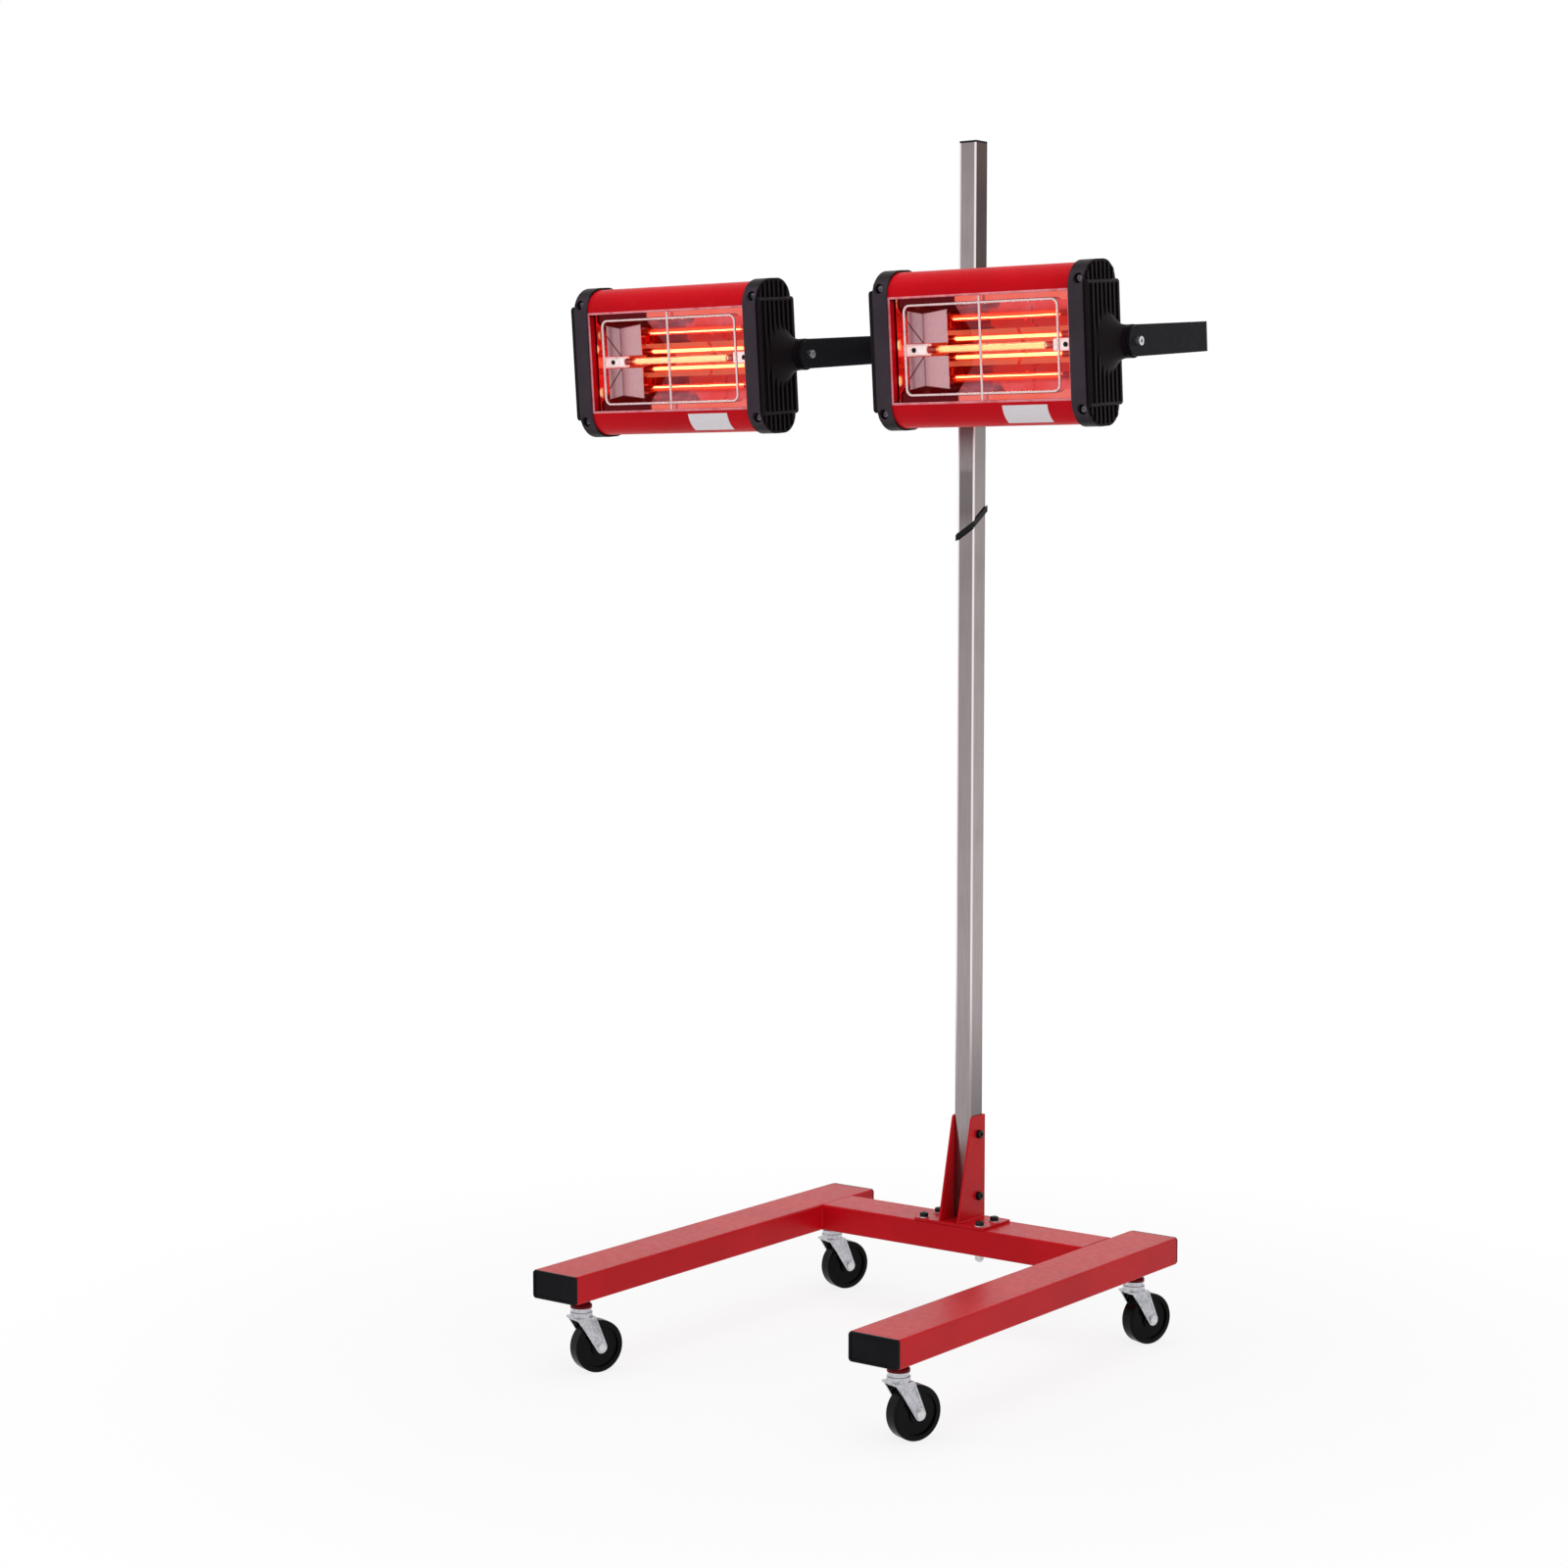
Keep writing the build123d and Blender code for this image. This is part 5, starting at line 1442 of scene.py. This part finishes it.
@dataclass
class Head:
    """One head with its yoke: dressed nodes, glowing tube, holder screws and sticker.

    The steps of a seal and of a screw are pairs of a share of its radius and a run along its axis, and
    those of the pip are a radius and a run. The sticker wraps the housing's lower arc, from an angle
    over a turn, both in degrees.
    """

    shop: Workshop
    side: str
    veiled: Colour
    glow_half: float = 84 * MM
    coil_radius: float = 2.4 * MM
    coil_wire: float = 0.7 * MM
    coil_pitch: float = 2.0 * MM
    coil_steps: int = 10
    wire_sides: int = 6
    core_share: float = 0.3
    core_sides: int = 16
    lead: float = 14 * MM
    lead_shares: tuple = (-0.1, 0.5, 1.0)
    tube_radius: float = 5 * MM
    tube_setback: float = 32.2 * MM
    seal_steps: tuple = ((0.0, 0.0), (0.8, 0.0), (0.94, 1 * MM), (0.98, 12 * MM), (1.0, 16 * MM))
    pip_reach: float = 30 * MM
    pip_sides: int = 16
    pip_steps: tuple = ((2.2 * MM, 0.0), (1.9 * MM, 5.4 * MM), (1.2 * MM, 7 * MM), (0.0, 8.6 * MM))
    screw_reach: float = 120 * MM
    screw_radius: float = 3.4 * MM
    screw_setback: float = 25 * MM
    screw_sides: int = 20
    screw_steps: tuple = ((0.0, 0.0), (1.0, 0.0), (1.0, 0.8 * MM), (0.8, 1.5 * MM), (0.0, 2 * MM))
    arc_radius: float = 34 * MM
    arc_height: float = 71 * MM
    label_from: float = 34 * MM
    label_to: float = 104 * MM
    label_angle: float = 9.0
    label_turn: float = 50.0
    label_lift: float = 0.02 * MM
    label_thickness: float = 0.3 * MM
    label_columns: int = 14
    label_rows: int = 12

    def __post_init__(self) -> None:
        """Works out the head's own axes from its lamp tube and its swivel joint."""
        self.body = f"{self.side}_head"
        self.depth = Vector(joint_named(f"{self.side}_yoke_swivel")["axis"]).normalized()
        self.rise = ACROSS.cross(self.depth)
        self.origin = centre(f"{self.side}_lamp_tube") - self.depth * self.tube_setback
        self.axes = HeadAxes(self.origin, self.depth, self.rise)

    def at(self, x: float, y: float, z: float) -> Vector:
        """Turns a place in the head to a place in the lamp.

        Args:
            x: Along the head, from its middle.
            y: Back from its window.
            z: Up from its middle.

        Returns:
            The place in metres.
        """
        return self.origin + Vector((x, 0, 0)) + self.depth * y + self.rise * z

    def turned(self, x: float, y: float, direction: Vector) -> Matrix:
        """Seat of a small turned part.

        Args:
            x: Along the head, from its middle.
            y: Back from its window.
            direction: Where the part's axis points.

        Returns:
            The matrix that puts a profile there.
        """
        facing = direction.to_track_quat("Z", "Y").to_matrix().to_4x4()
        return Matrix.Translation(self.at(x, y, 0)) @ facing

    def build(self) -> None:
        """Dresses the nodes and adds the head's own pieces."""
        side = self.side
        enamel = Enamel(f"{side}_shell", (0.62, 0.004, 0.011), (0.6, 0.05, 0.06), roughness=0.34, gloss=0.06)
        cap = FadedCap(f"{side}_cap", self.axes)
        dresses = {
            "yoke": Shared.BLACK_COAT,
            "yoke_bolt": Shared.BOLT,
            "pivot_bolts": Shared.BOLT,
            "housing": ShellPaint(enamel, self.axes),
            "reflector": GlowPaintedMirror(f"{side}_mirror", self.axes),
            "tube_holders": Shared.CERAMIC,
            "wire_guard": Shared.GUARD,
            "outer_cap": cap,
            "inner_cap": cap,
            "cap_screws": Shared.SCREW,
            "switch_bezel": Shared.PLUG,
            "rocker": Shared.ROCKER,
            "cable_gland": Shared.PLUG,
        }
        for node, finish in dresses.items():
            self.shop.dress(f"{side}_{node}", finish)
        self.lamp_tube()
        self.coil()
        self.holder_screws()
        self.label()

    def lamp_tube(self) -> None:
        """Makes the quartz tube with its narrowed seals and its sealed-off pip."""
        low, high = corners(f"{self.side}_lamp_tube")
        half = (high.x - low.x) / 2
        radius = self.tube_radius
        profile = [(radius * share, run - half) for share, run in self.seal_steps]
        profile += [(radius * share, half - run) for share, run in reversed(self.seal_steps)]
        shape = bmesh.new()
        turn = Matrix.Rotation(math.pi / 2, 4, "Y")
        lathe(shape, profile, Matrix.Translation(self.at(0, self.tube_setback, 0)) @ turn)
        seat = self.turned(self.pip_reach, self.tube_setback, self.depth)
        lathe(shape, self.pip_steps, seat, self.pip_sides)
        finish = ClearQuartz(f"{self.side}_quartz", self.axes, self.glow_half)
        tube = self.shop.piece(f"{self.side}_quartz_tube", shape, finish, self.body, "quartz")
        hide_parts(f"{self.side}_lamp_tube")

    def coil(self) -> None:
        """Winds the filament on its core inside the tube, with a straight lead to each seal."""
        shape = bmesh.new()
        steps = round(2 * self.glow_half / self.coil_pitch * self.coil_steps)
        path = []
        for step in range(steps + 1):
            angle = 2 * math.pi * step / self.coil_steps
            x = self.glow_half * (2 * step / steps - 1)
            y = self.tube_setback + self.coil_radius * math.cos(angle)
            path.append(self.at(x, y, self.coil_radius * math.sin(angle)))
        sweep(shape, path, [self.coil_wire] * len(path), ACROSS, self.wire_sides)
        ends = [self.at(end * self.glow_half, self.tube_setback, 0) for end in ENDS]
        core = self.coil_radius + self.core_share * self.coil_wire
        sweep(shape, ends, [core] * len(ends), self.depth, self.core_sides)
        for end, start in zip(ENDS, ends):
            path = [start + Vector((end * share * self.lead, 0, 0)) for share in self.lead_shares]
            sweep(shape, path, [self.coil_wire] * len(path), self.depth, self.wire_sides)
        finish = GlowingCoil(f"{self.side}_coil", self.axes, self.tube_setback, self.veiled)
        self.shop.piece(f"{self.side}_filament", shape, finish, self.body, "stainless")

    def holder_screws(self) -> None:
        """Sets a dark domed screw in the front of each ceramic holder."""
        shape = bmesh.new()
        profile = [(self.screw_radius * share, run) for share, run in self.screw_steps]
        for end in ENDS:
            seat = self.turned(end * self.screw_reach, self.screw_setback, -self.depth)
            lathe(shape, profile, seat, self.screw_sides)
        self.shop.piece(f"{self.side}_holder_screws", shape, Shared.OXIDE, self.body, "black_oxide")

    def label(self) -> None:
        """Makes the blank sticker on the lower front of the housing."""
        shape = bmesh.new()
        columns = self.label_columns
        rows = self.label_rows
        grid = []
        for layer in (0.0, self.label_thickness):
            for row in range(rows + 1):
                angle = math.radians(self.label_angle + self.label_turn * row / rows)
                radius = self.arc_radius + layer + self.label_lift
                y = self.arc_radius - radius * math.cos(angle)
                z = -self.arc_height - radius * math.sin(angle)
                for column in range(columns + 1):
                    x = self.label_from + (self.label_to - self.label_from) * column / columns
                    grid.append(shape.verts.new(self.at(x, y, z)))
        stride = columns + 1
        size = stride * (rows + 1)
        for base in (0, size):
            for row in range(rows):
                for column in range(columns):
                    first = base + row * stride + column
                    above = first + stride
                    shape.faces.new([grid[first], grid[first + 1], grid[above + 1], grid[above]])
        rim = list(range(columns))
        rim += [columns + row * stride for row in range(rows)]
        rim += [rows * stride + column for column in range(columns, 0, -1)]
        rim += [row * stride for row in range(rows, 0, -1)]
        for here, after in zip(rim, rim[1:] + rim[:1]):
            shape.faces.new([grid[here], grid[after], grid[after + size], grid[here + size]])
        self.shop.piece(f"{self.side}_blank_label", shape, Shared.FOIL, self.body, "polished_aluminium")


@dataclass(frozen=True)
class Softbox:
    """A square area lamp: where it hangs, what it faces, its side in metres and its power in watts."""

    name: str
    place: Place
    target: Place
    side: float
    power: float


@dataclass
class Studio:
    """Floor, lamps, world and camera."""

    camera_height: float = 1.2042
    camera_x: float = 2.5319
    camera_back: float = 3.8081
    camera_down: float = 4.88
    camera_turn: float = 37.0
    lens: float = 70.72
    sensor: float = 36.0
    floor_half: float = 14.0
    world_light: float = 0.45
    softboxes: tuple[Softbox, ...] = (
        Softbox("overhead", (0.3, -0.4, 4.2), (0.0, 0.0, 0.4), side=3.4, power=62.0),
        Softbox("front_left", (-3.4, -3.6, 2.6), (0.0, 0.0, 0.8), side=2.4, power=38.0),
        Softbox("front_right", (4.2, -1.6, 2.4), (0.0, 0.0, 0.9), side=2.2, power=34.0),
    )

    def build(self) -> None:
        """Sets up everything round the lamp."""
        self.floor()
        self.world()
        for softbox in self.softboxes:
            self.hang(softbox)
        self.camera()
        bpy.context.scene.view_settings.view_transform = "Standard"

    def floor(self) -> None:
        """Makes the flat white floor."""
        shape = bmesh.new()
        half = self.floor_half
        outline = [(-half, -half, 0.0), (half, -half, 0.0), (half, half, 0.0), (-half, half, 0.0)]
        shape.faces.new([shape.verts.new(point) for point in outline])
        item = placed("studio_floor", shape)
        item.data.materials.append(StudioPaper("studio_paper").material())

    def world(self) -> None:
        """Makes an even white surround, fully white where the camera or gloss sees it."""
        graph = ShaderGraph(bpy.data.worlds.new("studio_world"))
        seen = graph.add("ShaderNodeLightPath", output="Is Camera Ray")
        glossy = graph.add("ShaderNodeLightPath", output="Is Glossy Ray")
        either = graph.add("ShaderNodeMath", {"operation": "MAXIMUM"}, {0: seen, 1: glossy})
        reach = {"Value": either, "To Min": self.world_light, "To Max": 1.0}
        strength = graph.add("ShaderNodeMapRange", sockets=reach)
        sockets = {"Color": WHITE, "Strength": strength}
        light = graph.add("ShaderNodeBackground", sockets=sockets)
        bpy.context.scene.world = graph.close(light, "ShaderNodeOutputWorld")

    @staticmethod
    def hang(softbox: Softbox) -> None:
        """Hangs one area lamp.

        Args:
            softbox: The lamp.
        """
        data = bpy.data.lights.new(softbox.name, "AREA")
        data.size = softbox.side
        data.energy = softbox.power
        item = bpy.data.objects.new(softbox.name, data)
        item.visible_glossy = False
        item.location = softbox.place
        facing = Vector(softbox.target) - Vector(softbox.place)
        item.rotation_euler = facing.to_track_quat("-Z", "Y").to_euler()
        bpy.context.scene.collection.objects.link(item)

    def camera(self) -> None:
        """Places the camera at the photograph's viewing angle."""
        data = bpy.data.cameras.new("camera")
        data.lens = self.lens
        data.sensor_width = self.sensor
        data.sensor_fit = "HORIZONTAL"
        item = bpy.data.objects.new("camera", data)
        item.location = (self.camera_x, centre("crossbar").y - self.camera_back, self.camera_height)
        item.rotation_euler = (math.radians(90.0 - self.camera_down), 0.0, math.radians(self.camera_turn))
        bpy.context.scene.collection.objects.link(item)
        bpy.context.scene.camera = item


def main() -> None:
    """Builds the lamp's looks and reports each piece."""
    logging.basicConfig(level=logging.INFO, format="%(message)s")
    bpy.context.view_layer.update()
    shop = Workshop()
    Studio().build()
    Stand(shop).build()
    Casters(shop).build()
    Carriage(shop).build()
    Head(shop, "left", veiled=(0.075, 0.043, 0.018)).build()
    Head(shop, "right", veiled=(0.075, 0.043, 0.012)).build()


if __name__ == "__main__":
    main()
